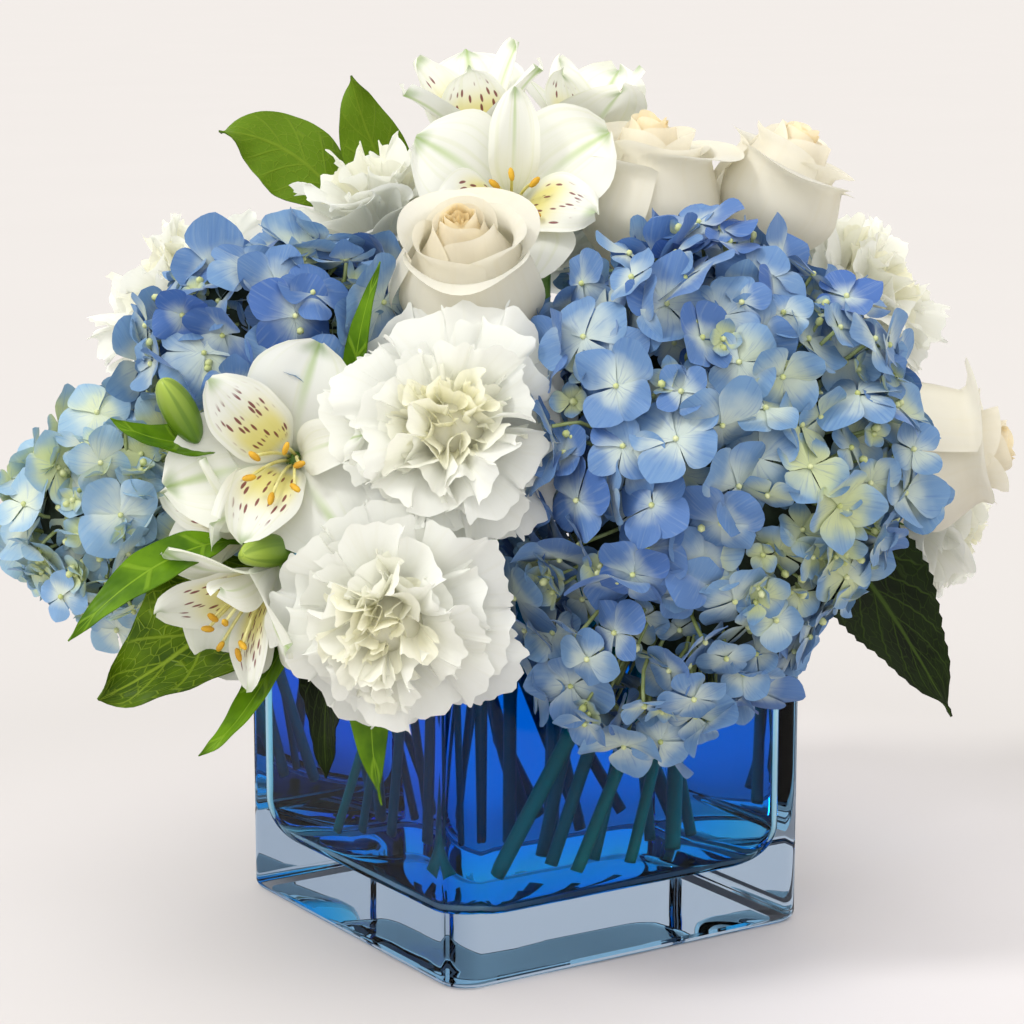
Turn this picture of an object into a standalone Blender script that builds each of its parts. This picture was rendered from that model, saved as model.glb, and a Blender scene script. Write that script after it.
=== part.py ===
"""Blue hydrangeas, white carnations, cream roses and alstroemeria in a square glass vase of blue-tinted water.

Metres, +Z up. The origin is the centre of the vase's underside. The arrangement's front looks along -Y, over
one corner of the turned vase.
"""

import math

import bmesh
import bpy
from mathutils import Matrix, Vector

# ---- Driving dimensions -------------------------------------------------------------------------
VASE_SIDE = 0.127  # a five-inch square vase
VASE_HEIGHT = 0.114
VASE_WALL = 0.006
VASE_BASE = 0.018  # the thick pressed foot
VASE_CORNER = 0.0085
VASE_FOOT_RADIUS = 0.0025
VASE_LIP = 0.0015
CAVITY_CORNER = 0.009
CAVITY_FLOOR_RADIUS = 0.012
CORNER_STEPS = 4
FOOT_STEPS = 3
WATER_LEVEL = 0.100
GAP = 0.0004  # kept between pieces that touch
CLEARANCE = 0.0012  # kept between the vase and what leans over it

VASE_TURN = math.radians(33)  # about Z, so that one corner comes to the front

# Stems stand in rings that all twist the same way, so that no two of them cross.
STEM_TWIST = math.radians(-60)
FOOT_HEIGHT = 0.0245
NECK_HEIGHT = 0.104
RING_RADIUS = {"outer": 0.047, "middle": 0.033, "inner": 0.019, "centre": 0.003}
FOOT_SHARE = 0.96  # a ring is this much narrower at its feet than at the mouth

STEM_SIDES = 2  # bevel resolution: eight sides
SIDES_REACH = math.cos(math.pi / 8)  # flat-to-centre distance of an eight-sided tube, per unit radius

HYDRANGEA_STEM = 0.0038
CARNATION_STEM = 0.0024
ROSE_STEM = 0.0027
ALSTROEMERIA_STEM = 0.0026
PEDICEL = 0.0012

# Heads: centre, half sizes along the axes, then the stem's ring and azimuth in degrees.
HYDRANGEAS = {
    "front_right": ((0.0545, -0.064, 0.1430), (0.0560, 0.0480, 0.0720), "outer", -48),
    "upper_left": ((-0.0730, -0.040, 0.1860), (0.0400, 0.0340, 0.0290), "middle", 179),
    "far_left": ((-0.1170, -0.036, 0.1300), (0.0340, 0.0310, 0.0340), "outer", 168),
    "back_left": ((-0.0600, 0.070, 0.1630), (0.0450, 0.0430, 0.0390), "outer", 96),
    "back_right": ((0.0640, 0.074, 0.1630), (0.0450, 0.0430, 0.0390), "outer", 36),
}
# Heads: centre, facing direction, radius, ring and azimuth.
CARNATIONS = {
    "front_high": ((-0.0190, -0.098, 0.1665), (0.05, -0.90, 0.42), 0.0285, "middle", -133),
    "front_low": ((-0.0360, -0.113, 0.1150), (-0.10, -0.96, -0.20), 0.0290, "outer", -122),
    "left_high": ((-0.1060, 0.018, 0.1890), (-0.72, 0.10, 0.68), 0.0290, "middle", 146),
    "top_left": ((-0.0450, 0.016, 0.2170), (-0.25, 0.05, 0.97), 0.0270, "inner", 135),
    "right_high": ((0.1080, 0.026, 0.1900), (0.72, -0.15, 0.62), 0.0270, "middle", 0),
    "right_low": ((0.1350, 0.050, 0.1120), (0.95, 0.10, -0.10), 0.0240, "outer", 10),
    "left_back": ((-0.1160, 0.052, 0.1300), (-0.88, 0.42, 0.10), 0.0280, "outer", 130),
    "back_low": ((0.0020, 0.120, 0.1300), (0.00, 0.98, 0.05), 0.0290, "outer", 62),
    "back_high": ((0.0060, 0.072, 0.2080), (0.05, 0.45, 0.88), 0.0290, "middle", 55),
}
ROSES = {
    "front": ((-0.0160, -0.058, 0.2005), (-0.05, -0.55, 0.83), 0.0205, "inner", -136),
    "top": ((0.0365, -0.004, 0.2190), (0.10, -0.10, 0.98), 0.0200, "inner", -39),
    "top_right": ((0.0755, 0.002, 0.2200), (0.42, -0.05, 0.90), 0.0180, "middle", -26),
    "right": ((0.1230, 0.008, 0.1400), (0.97, -0.10, 0.20), 0.0200, "outer", -14),
}
# Each alstroemeria stem: ring, azimuth, the fork that its pedicels leave, then each flower or bud.
ALSTROEMERIAS = {
    "left": {
        "ring": "outer",
        "azimuth": -156,
        "fork": (-0.056, -0.058, 0.128),
        "flowers": {
            "open": ((-0.0695, -0.101, 0.1610), (-0.22, -0.92, 0.30), 0.026),
            "low": ((-0.0835, -0.101, 0.1120), (-0.55, -0.66, -0.45), 0.020),
            "side": ((-0.1010, -0.086, 0.1430), (-0.82, -0.55, 0.10), 0.0155),
        },
        "buds": {
            "upper_bud": ((-0.0945, -0.087, 0.1690), (-0.40, -0.35, 0.85)),
            "lower_bud": ((-0.0705, -0.096, 0.1310), (-0.50, -0.80, 0.10)),
        },
    },
    "top": {
        "ring": "centre",
        "azimuth": -90,
        "fork": (0.000, -0.003, 0.185),
        "flowers": {
            "front": ((-0.0020, -0.024, 0.2265), (0.05, -0.80, 0.60), 0.025),
            "tall": ((-0.0130, 0.012, 0.2430), (-0.18, -0.05, 0.98), 0.022),
            "back": ((0.0200, 0.038, 0.2380), (0.35, 0.30, 0.88), 0.020),
        },
        "buds": {},
    },
}
# Leaves: four control points of the midrib, from the stalk's end to the tip, the way the upper face
# looks, the blade's width and the share of the midrib that is bare stalk.
LEAVES = {
    "salal_top_left": (
        ((-0.026, 0.028, 0.150), (-0.042, 0.038, 0.208), (-0.068, 0.058, 0.236), (-0.0946, 0.038, 0.2385)),
        (0.25, -0.90, 0.35), 0.027, 0.50,
    ),
    "salal_top": (
        ((-0.012, 0.036, 0.160), (-0.024, 0.050, 0.200), (-0.050, 0.048, 0.226), (-0.0528, 0.040, 0.2560)),
        (0.20, -0.95, 0.15), 0.021, 0.52,
    ),
    "salal_low_left": (
        ((-0.054, -0.024, 0.120), (-0.070, -0.055, 0.123), (-0.084, -0.077, 0.098), (-0.1185, -0.092, 0.088)),
        (-0.25, -0.70, 0.65), 0.037, 0.36,
    ),
    "pointed_low_left": (
        ((-0.047, -0.035, 0.120), (-0.061, -0.068, 0.124), (-0.066, -0.098, 0.088), (-0.0893, -0.104, 0.075)),
        (-0.70, -0.60, 0.35), 0.014, 0.34,
    ),
    "dark_over_rim": (
        ((-0.036, -0.046, 0.120), (-0.042, -0.069, 0.136), (-0.057, -0.082, 0.104), (-0.0556, -0.080, 0.062)),
        (-0.60, -0.75, 0.25), 0.021, 0.34,
    ),
    "blade_over_rim": (
        ((-0.033, -0.048, 0.120), (-0.036, -0.070, 0.132), (-0.047, -0.088, 0.098), (-0.0397, -0.090, 0.057)),
        (-0.40, -0.90, 0.15), 0.013, 0.30,
    ),
    "hydrangea_right": (
        ((0.066, -0.014, 0.121), (0.088, -0.012, 0.136), (0.108, -0.022, 0.102), (0.1290, -0.036, 0.0690)),
        (0.20, -0.80, 0.55), 0.038, 0.30,
    ),
    "grass_blade": (
        ((-0.033, -0.030, 0.120), (-0.050, -0.070, 0.150), (-0.050, -0.082, 0.180), (-0.0390, -0.078, 0.2094)),
        (-0.55, -0.80, 0.20), 0.008, 0.35,
    ),
    "alstroemeria_upper": (
        ((-0.078, -0.066, 0.154), (-0.084, -0.074, 0.158), (-0.098, -0.088, 0.156), (-0.1137, -0.088, 0.167)),
        (-0.10, -0.55, 0.80), 0.013, 0.15,
    ),
    "alstroemeria_lower": (
        ((-0.072, -0.078, 0.129), (-0.084, -0.092, 0.137), (-0.104, -0.112, 0.131), (-0.1232, -0.112, 0.1094)),
        (-0.35, -0.80, 0.45), 0.013, 0.20,
    ),
    "salal_back_left": (
        ((-0.022, 0.050, 0.118), (-0.040, 0.080, 0.122), (-0.060, 0.104, 0.116), (-0.082, 0.122, 0.088)),
        (-0.30, 0.75, 0.55), 0.040, 0.34,
    ),
    "salal_back_right": (
        ((0.024, 0.050, 0.118), (0.042, 0.082, 0.120), (0.064, 0.110, 0.114), (0.086, 0.126, 0.086)),
        (0.30, 0.75, 0.55), 0.040, 0.34,
    ),
}
LEAF_THICKNESS = 0.0008
LEAF_ROWS, LEAF_COLUMNS = 10, 2
STALK_WIDTH = 0.0022

COLOURS = {
    "glass": ((0.93, 0.97, 1.00, 1), 0.02),
    "water": ((0.01, 0.16, 0.70, 1), 0.02),
    "hydrangea": ((0.25, 0.42, 0.80, 1), 0.60),
    "carnation": ((0.93, 0.93, 0.88, 1), 0.65),
    "rose": ((0.94, 0.89, 0.78, 1), 0.55),
    "alstroemeria": ((0.94, 0.95, 0.90, 1), 0.50),
    "bud": ((0.36, 0.50, 0.16, 1), 0.50),
    "stem": ((0.16, 0.34, 0.10, 1), 0.50),
    "leaf": ((0.12, 0.30, 0.05, 1), 0.45),
}


# ---- Scene helpers ------------------------------------------------------------------------------
def clear_scene():
    for obj in list(bpy.data.objects):
        bpy.data.objects.remove(obj)


def new_collection(name, shown=True):
    made = bpy.data.collections.new(name)
    made.hide_render = not shown
    bpy.context.scene.collection.children.link(made)
    return made


def material(name):
    found = bpy.data.materials.get(name)
    if found:
        return found
    colour, roughness = COLOURS[name]
    made = bpy.data.materials.new(name)
    made.use_nodes = True
    shader = made.node_tree.nodes["Principled BSDF"]
    shader.inputs["Base Color"].default_value = colour
    shader.inputs["Roughness"].default_value = roughness
    shader.inputs["Metallic"].default_value = 0.0
    return made


def add_object(name, data, finish, collection=None):
    """Links an object that holds this mesh or curve, with its material."""
    obj = bpy.data.objects.new(name, data)
    (collection or PARTS).objects.link(obj)
    data.materials.append(material(finish))
    return obj


def mesh_from(name, bm, smooth=True):
    bmesh.ops.recalc_face_normals(bm, faces=bm.faces)
    mesh = bpy.data.meshes.new(name)
    bm.to_mesh(mesh)
    bm.free()
    if smooth:
        mesh.shade_smooth()
    return mesh


def as_cutter(obj):
    obj.hide_render = True
    obj.display_type = "WIRE"
    return obj


def subtract(obj, cutter):
    """Cuts one object, or every object of a collection, out of obj."""
    cut = obj.modifiers.new("Cut", "BOOLEAN")
    cut.operation = "DIFFERENCE"
    cut.solver = "EXACT"
    if isinstance(cutter, bpy.types.Collection):
        cut.operand_type = "COLLECTION"
        cut.collection = cutter
    else:
        cut.object = cutter


def facing(direction):
    """The rotation that turns local +Z to this direction."""
    return Vector(direction).to_track_quat("Z", "Y")


# ---- Vase and water -----------------------------------------------------------------------------
def square_outline(half, corner, height):
    """Points round a square with rounded corners, at this height."""
    straight = half - corner
    points = []
    for quarter in range(4):
        for step in range(CORNER_STEPS + 1):
            turn = math.radians(90) * (quarter + step / CORNER_STEPS)
            x = straight * (1 if quarter in (0, 3) else -1) + corner * math.cos(turn)
            y = straight * (1 if quarter in (0, 1) else -1) + corner * math.sin(turn)
            points.append((x, y, height))
    return points


def rounded_block(name, side, bottom, top, corner, foot, lip=0.0):
    """A square block with rounded upright corners, a rounded foot and, if asked, a rounded lip."""
    levels = []
    for step in range(FOOT_STEPS + 1):
        turn = math.radians(90) * step / FOOT_STEPS
        levels.append((foot * (1 - math.sin(turn)), bottom + foot * (1 - math.cos(turn))))
    if lip:
        levels += [(0, top - lip), (0.3 * lip, top - 0.3 * lip), (lip, top)]
    else:
        levels.append((0, top))
    bm = bmesh.new()
    loops = []
    for inset, height in levels:
        outline = square_outline(side / 2 - inset, corner, height)
        loops.append([bm.verts.new(point) for point in outline])
    bm.faces.new(loops[0])
    bm.faces.new(loops[-1])
    for lower, upper in zip(loops, loops[1:]):
        for i in range(len(lower)):
            bm.faces.new((lower[i - 1], lower[i], upper[i], upper[i - 1]))
    return mesh_from(name, bm, smooth=False)


def build_vase():
    outer = rounded_block("glass_vase", VASE_SIDE, 0, VASE_HEIGHT, VASE_CORNER, VASE_FOOT_RADIUS, VASE_LIP)
    vase = add_object("glass_vase", outer, "glass")
    vase.rotation_euler.z = VASE_TURN
    inner_side = VASE_SIDE - 2 * VASE_WALL
    above = VASE_HEIGHT + 0.02
    cavity = rounded_block("vase_cavity", inner_side, VASE_BASE, above, CAVITY_CORNER, CAVITY_FLOOR_RADIUS)
    cutter = as_cutter(add_object("vase_cavity", cavity, "glass", CUTTERS))
    cutter.rotation_euler.z = VASE_TURN
    subtract(vase, cutter)


def build_water():
    side = VASE_SIDE - 2 * (VASE_WALL + GAP)
    body = rounded_block(
        "tinted_water", side, VASE_BASE + GAP, WATER_LEVEL, CAVITY_CORNER - GAP, CAVITY_FLOOR_RADIUS - GAP
    )
    water = add_object("tinted_water", body, "water")
    water.rotation_euler.z = VASE_TURN
    subtract(water, CHANNELS)


def build_vase_clearance():
    """What a head that leans over the rim is cut back by."""
    side = VASE_SIDE + 2 * CLEARANCE
    block = rounded_block("vase_clearance", side, -0.01, VASE_HEIGHT + CLEARANCE, VASE_CORNER, 0.002)
    cutter = as_cutter(add_object("vase_clearance", block, "glass", CUTTERS))
    cutter.rotation_euler.z = VASE_TURN
    return cutter


# ---- Stems --------------------------------------------------------------------------------------
def ring_point(ring, azimuth, height, share=1.0):
    reach = RING_RADIUS[ring] * share
    return Vector((reach * math.cos(azimuth), reach * math.sin(azimuth), height))


def stem_line(ring, azimuth_deg):
    """The foot in the water and the neck at the mouth of a stem."""
    azimuth = math.radians(azimuth_deg)
    foot = ring_point(ring, azimuth + STEM_TWIST, FOOT_HEIGHT, FOOT_SHARE)
    neck = ring_point(ring, azimuth, NECK_HEIGHT)
    return foot, neck


def bezier(p0, p1, p2, p3, t):
    s = 1 - t
    return p0 * s**3 + p1 * (3 * s * s * t) + p2 * (3 * s * t * t) + p3 * t**3


def curve_between(start, start_way, end, end_way, steps):
    """Points of a smooth curve that leaves start along start_way and reaches end along end_way."""
    reach = (end - start).length * 0.38
    p1 = start + start_way.normalized() * reach
    p2 = end - end_way.normalized() * reach
    return [bezier(start, p1, p2, end, i / steps) for i in range(steps + 1)]


def tube_curve(name, points, radius, swell=()):
    """A round tube along the points. swell lists (index from the end, radius factor)."""
    curve = bpy.data.curves.new(name, "CURVE")
    curve.dimensions = "3D"
    curve.bevel_depth = radius
    curve.bevel_resolution = STEM_SIDES
    curve.use_fill_caps = True
    spline = curve.splines.new("POLY")
    spline.points.add(len(points) - 1)
    for place, point in zip(spline.points, points):
        place.co = (*point, 1)
    for index, factor in swell:
        spline.points[index].radius = factor
    return curve


def cut_channel(foot, neck, radius):
    """The channel that a stem takes in the water: a cylinder a little wider and longer than it."""
    way = (neck - foot).normalized()
    low, high = foot - way * 2 * GAP, neck + way * 0.02
    bm = bmesh.new()
    wide = (radius + 2 * GAP) / SIDES_REACH
    bmesh.ops.create_cone(
        bm, cap_ends=True, segments=8, radius1=wide, radius2=wide, depth=(high - low).length
    )
    channel = add_object("channel", mesh_from("channel", bm, smooth=False), "water", CHANNELS)
    channel.location = (low + high) / 2
    channel.rotation_mode = "QUATERNION"
    channel.rotation_quaternion = facing(way)
    as_cutter(channel)


def build_stem(name, ring, azimuth, radius, end, end_way, swell=()):
    foot, neck = stem_line(ring, azimuth)
    cut_channel(foot, neck, radius)
    points = [foot] + curve_between(neck, neck - foot, end, end_way, 6)
    return add_object(name, tube_curve(name, points, radius, swell), "stem")


# ---- Flower heads -------------------------------------------------------------------------------
def globe(name, segments, rings, shape):
    """A closed form from a UV sphere: shape takes the angle from the top and the angle round."""
    bm = bmesh.new()
    bmesh.ops.create_uvsphere(bm, u_segments=segments, v_segments=rings, radius=1)
    for v in bm.verts:
        v.co = shape(math.acos(max(-1.0, min(1.0, v.co.z))), math.atan2(v.co.y, v.co.x))
    return mesh_from(name, bm)


def hydrangea_shape(half):
    """A dome whose surface rises and falls with its clusters of florets."""
    def shape(down, around):
        relief = 1 + 0.05 * math.sin(down) * math.cos(6 * down) * math.cos(5 * around + 3 * down)
        return Vector((
            half[0] * math.sin(down) * math.cos(around),
            half[1] * math.sin(down) * math.sin(around),
            half[2] * math.cos(down),
        )) * relief
    return shape


def carnation_shape(radius):
    """A ruffled dome above a cup that narrows to the calyx."""
    def shape(down, around):
        rim = math.sin(down)
        wave = 0.06 * math.cos(8 * around) * rim**2
        if down <= math.pi / 2:
            across, up = rim**0.85, 0.44 * math.cos(down)
        else:
            across, up = max(rim**1.5, 0.12 * rim), 0.62 * math.cos(down)
        across *= radius * (1 + wave)
        return Vector((across * math.cos(around), across * math.sin(around), radius * (up + wave)))
    return shape


def rose_shape(radius):
    """A high-centred bloom: a rounded cup, fullest below the middle, closing to a blunt top."""
    def shape(down, around):
        rim = math.sin(down)
        lobe = 1 + 0.05 * math.cos(3 * around) * rim**2
        across = radius * lobe * (rim**0.75 if down <= math.pi / 2 else rim**0.9)
        return Vector((across * math.cos(around), across * math.sin(around), 1.08 * radius * math.cos(down)))
    return shape


def alstroemeria_shape(radius):
    """A six-lobed trumpet, hollowed a little in front."""
    def shape(down, around):
        rim = math.sin(down)
        lobes = 0.66 + 0.34 * abs(math.cos(3 * around)) ** 0.7
        if down <= math.pi / 2:
            across, up = rim, 0.30 - 0.62 * math.cos(down)
        else:
            across, up = max(rim**2.2, 0.16 * rim), 0.30 + 1.20 * math.cos(down)
        across *= radius * lobes
        return Vector((across * math.cos(around), across * math.sin(around), radius * up))
    return shape


def bud_shape(radius, length):
    def shape(down, around):
        across = radius * math.sin(down) ** 1.2 * (1 - 0.12 * math.cos(down))
        return Vector((across * math.cos(around), across * math.sin(around), length / 2 * math.cos(down)))
    return shape


def place_head(name, mesh, finish, centre, direction=None):
    head = add_object(name, mesh, finish)
    head.location = centre
    if direction:
        head.rotation_mode = "QUATERNION"
        head.rotation_quaternion = facing(direction)
    return head


def build_hydrangeas(vase_clearance):
    for place, (centre, half, ring, azimuth) in HYDRANGEAS.items():
        name = f"hydrangea_{place}_head"
        rings, segments = (16, 25) if place == "front_right" else (11, 20)
        head = place_head(name, globe(name, segments, rings, hydrangea_shape(half)), "hydrangea", centre)
        middle = Vector(centre)
        _, neck = stem_line(ring, azimuth)
        stem_name = f"hydrangea_{place}_stem"
        if place == "front_right":
            # This head rests on the rim, so its stem ends just below the level that it is cut to.
            subtract(head, vase_clearance)
            end = Vector((neck.x * 1.02, neck.y * 1.02, VASE_HEIGHT + CLEARANCE - 2 * GAP))
            build_stem(stem_name, ring, azimuth, HYDRANGEA_STEM, end, Vector((0, 0, 1)))
            continue
        inward = Vector((neck.x, neck.y, VASE_HEIGHT + 0.01)) - middle
        scaled = Vector([inward[i] / half[i] for i in range(3)])
        end = middle + inward * (1.06 / scaled.length)
        build_stem(stem_name, ring, azimuth, HYDRANGEA_STEM, end, -inward)


def build_carnations():
    for place, (centre, direction, radius, ring, azimuth) in CARNATIONS.items():
        name = f"carnation_{place}_head"
        way = Vector(direction).normalized()
        place_head(name, globe(name, 24, 8, carnation_shape(radius)), "carnation", centre, direction)
        end = Vector(centre) - way * (0.62 * radius + GAP)
        # The last points swell into the calyx.
        swell = ((-1, 2.0), (-2, 1.9), (-3, 1.05))
        build_stem(f"carnation_{place}_stem", ring, azimuth, CARNATION_STEM, end, way, swell)


def build_roses():
    for place, (centre, direction, radius, ring, azimuth) in ROSES.items():
        name = f"rose_{place}_head"
        way = Vector(direction).normalized()
        place_head(name, globe(name, 18, 10, rose_shape(radius)), "rose", centre, direction)
        end = Vector(centre) - way * (1.08 * radius + GAP)
        build_stem(f"rose_{place}_stem", ring, azimuth, ROSE_STEM, end, way, ((-1, 1.7),))


def build_alstroemerias():
    """One stem forks into a pedicel for each flower and bud."""
    for place, plant in ALSTROEMERIAS.items():
        name = f"alstroemeria_{place}_stem"
        fork = Vector(plant["fork"])
        ends = []
        for part, (centre, direction, radius) in plant["flowers"].items():
            flower = f"alstroemeria_{place}_{part}_flower"
            mesh = globe(flower, 36, 7, alstroemeria_shape(radius))
            place_head(flower, mesh, "alstroemeria", centre, direction)
            ends.append((Vector(centre), Vector(direction).normalized(), 0.90 * radius + GAP))
        for part, (centre, direction) in plant["buds"].items():
            bud = f"alstroemeria_{place}_{part}"
            place_head(bud, globe(bud, 10, 8, bud_shape(0.0055, 0.021)), "bud", centre, direction)
            ends.append((Vector(centre), Vector(direction).normalized(), 0.0105 + GAP))
        foot, neck = stem_line(plant["ring"], plant["azimuth"])
        stem = build_stem(name, plant["ring"], plant["azimuth"], ALSTROEMERIA_STEM, fork, fork - neck)
        tubes = [solid_of(stem)]
        for centre, way, back in ends:
            end = centre - way * back
            start = fork - (fork - neck).normalized() * 0.003
            points = curve_between(start, end - start, end, way, 4)
            tubes.append(solid_of(add_object("pedicel", tube_curve("pedicel", points, PEDICEL), "stem")))
        joined = tubes[0]
        joined.name = name
        for tube in tubes[1:]:
            CUTTERS.objects.link(tube)
            PARTS.objects.unlink(tube)
            join = joined.modifiers.new("Join", "BOOLEAN")
            join.operation = "UNION"
            join.solver = "EXACT"
            join.object = as_cutter(tube)


def solid_of(curve_object):
    """The curve's tube as a closed mesh object in the curve's place."""
    bpy.context.view_layer.update()
    graph = bpy.context.evaluated_depsgraph_get()
    mesh = bpy.data.meshes.new_from_object(curve_object.evaluated_get(graph))
    bm = bmesh.new()
    bm.from_mesh(mesh)
    bmesh.ops.remove_doubles(bm, verts=bm.verts, dist=1e-6)
    bmesh.ops.recalc_face_normals(bm, faces=bm.faces)
    bm.to_mesh(mesh)
    bm.free()
    solid = bpy.data.objects.new(curve_object.name + "_solid", mesh)
    PARTS.objects.link(solid)
    solid.matrix_world = curve_object.matrix_world
    bpy.data.objects.remove(curve_object)
    return solid


# ---- Leaves -------------------------------------------------------------------------------------
def leaf_width(along, blade, stalk):
    """Half the width at this share of the midrib: a bare stalk, then a pointed blade."""
    if along <= stalk:
        return STALK_WIDTH / 2
    share = (along - stalk) / (1 - stalk)
    swell = math.sin(math.pi * share**0.72) ** 0.8 if share < 1 else 0
    return max(blade / 2 * swell, STALK_WIDTH / 2 * (1 - 0.75 * share))


def build_leaves():
    for place, (midrib, upper, width, stalk) in LEAVES.items():
        name = f"leaf_{place}"
        rib = [Vector(p) for p in midrib]
        bm = bmesh.new()
        bmesh.ops.create_grid(bm, x_segments=LEAF_COLUMNS, y_segments=LEAF_ROWS, size=1)
        for v in bm.verts:
            across, along = v.co.x, (v.co.y + 1) / 2
            step = 0.01
            here = bezier(*rib, along)
            way = bezier(*rib, min(1, along + step)) - bezier(*rib, max(0, along - step))
            side = way.cross(Vector(upper)).normalized()
            lift = side.cross(way).normalized()
            half = leaf_width(along, width, stalk)
            fold = 0.22 * abs(across) * half
            v.co = here + side * across * half + lift * fold
        leaf = add_object(name, mesh_from(name, bm), "leaf")
        thick = leaf.modifiers.new("Thickness", "SOLIDIFY")
        thick.thickness = LEAF_THICKNESS
        thick.offset = 0


# ---- Build --------------------------------------------------------------------------------------
clear_scene()
PARTS = new_collection("hydrangeas_in_a_vase")
CUTTERS = new_collection("cutters", shown=False)
CHANNELS = new_collection("stem_channels", shown=False)

build_vase()
build_hydrangeas(build_vase_clearance())
build_carnations()
build_roses()
build_alstroemerias()
build_leaves()
build_water()
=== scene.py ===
"""The looks of the hydrangeas in a vase: petals, leaves, glass, water, floor, lights and camera."""

import math
import random

import bpy
import numpy as np
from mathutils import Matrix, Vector


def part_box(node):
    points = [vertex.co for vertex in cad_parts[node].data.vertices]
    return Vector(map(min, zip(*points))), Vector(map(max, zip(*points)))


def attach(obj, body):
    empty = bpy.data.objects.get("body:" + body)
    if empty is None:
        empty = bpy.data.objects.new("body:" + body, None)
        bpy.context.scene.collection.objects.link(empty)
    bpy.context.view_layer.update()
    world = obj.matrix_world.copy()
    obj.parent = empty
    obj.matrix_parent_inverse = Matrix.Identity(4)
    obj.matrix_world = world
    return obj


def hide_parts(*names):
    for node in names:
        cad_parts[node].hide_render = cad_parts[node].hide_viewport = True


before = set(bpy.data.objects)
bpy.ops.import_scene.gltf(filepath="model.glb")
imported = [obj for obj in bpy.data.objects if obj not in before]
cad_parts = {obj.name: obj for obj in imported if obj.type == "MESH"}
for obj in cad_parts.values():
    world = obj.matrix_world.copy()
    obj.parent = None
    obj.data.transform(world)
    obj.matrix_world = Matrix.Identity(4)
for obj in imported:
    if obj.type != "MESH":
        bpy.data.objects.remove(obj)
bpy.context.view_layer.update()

UP = np.array([0.0, 0.0, 1.0])


# ---- Small vector and curve helpers -------------------------------------------------------------
def unit(v):
    """The direction of v."""
    v = np.asarray(v, float)
    return v / max(np.linalg.norm(v), 1e-12)


def frame_about(axis, toward=UP):
    """Two directions square to axis and to each other. The first leans towards toward."""
    axis = unit(axis)
    first = toward - axis * float(np.dot(toward, axis))
    if np.linalg.norm(first) < 1e-3:
        first = np.array([0.0, -1.0, 0.0]) - axis * float(-axis[1])
    first = unit(first)
    return first, np.cross(axis, first)


def about_axis(axis, phi, rho, zeta):
    """Points at the angle phi and distance rho round axis, and zeta along it."""
    first, second = frame_about(axis)
    round_it = (rho * np.cos(phi))[..., None] * first + (rho * np.sin(phi))[..., None] * second
    return round_it + zeta[..., None] * axis


def bezier2(p0, p1, p2, t):
    """A quadratic Bezier curve at t."""
    t = np.asarray(t)[..., None]
    return p0 * (1 - t) ** 2 + p1 * (2 * t * (1 - t)) + p2 * t**2


def smooth(low, high, x):
    """Rises smoothly from 0 at low to 1 at high, or falls where low is above high."""
    t = np.clip((x - low) / (high - low), 0, 1)
    return t * t * (3 - 2 * t)


def through(points, count):
    """A smooth Catmull-Rom curve through the rows of points, resampled to count rows."""
    points = np.asarray(points, float)
    padded = np.vstack([2 * points[0] - points[1], points, 2 * points[-1] - points[-2]])
    t = np.linspace(0, len(points) - 1, count)
    i = np.minimum(t.astype(int), len(points) - 2)
    f = (t - i)[:, None]
    a, b, c, d = padded[i], padded[i + 1], padded[i + 2], padded[i + 3]
    return 0.5 * (2 * b + (c - a) * f + (2 * a - 5 * b + 4 * c - d) * f**2 + (3 * b - a - 3 * c + d) * f**3)


def turned(points, axis, angle):
    """The points turned about an axis through the origin."""
    axis = unit(axis)
    c, s = math.cos(angle), math.sin(angle)
    along = (points @ axis)[..., None] * axis
    return points * c + np.cross(axis, points) * s + along * (1 - c)


# ---- Meshes -------------------------------------------------------------------------------------
def shades(across, along, chance, tint):
    """The four values that each vertex carries for its material, spread to one shape."""
    return np.stack(np.broadcast_arrays(*(np.asarray(v, float) for v in (across, along, chance, tint))), -1)


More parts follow.
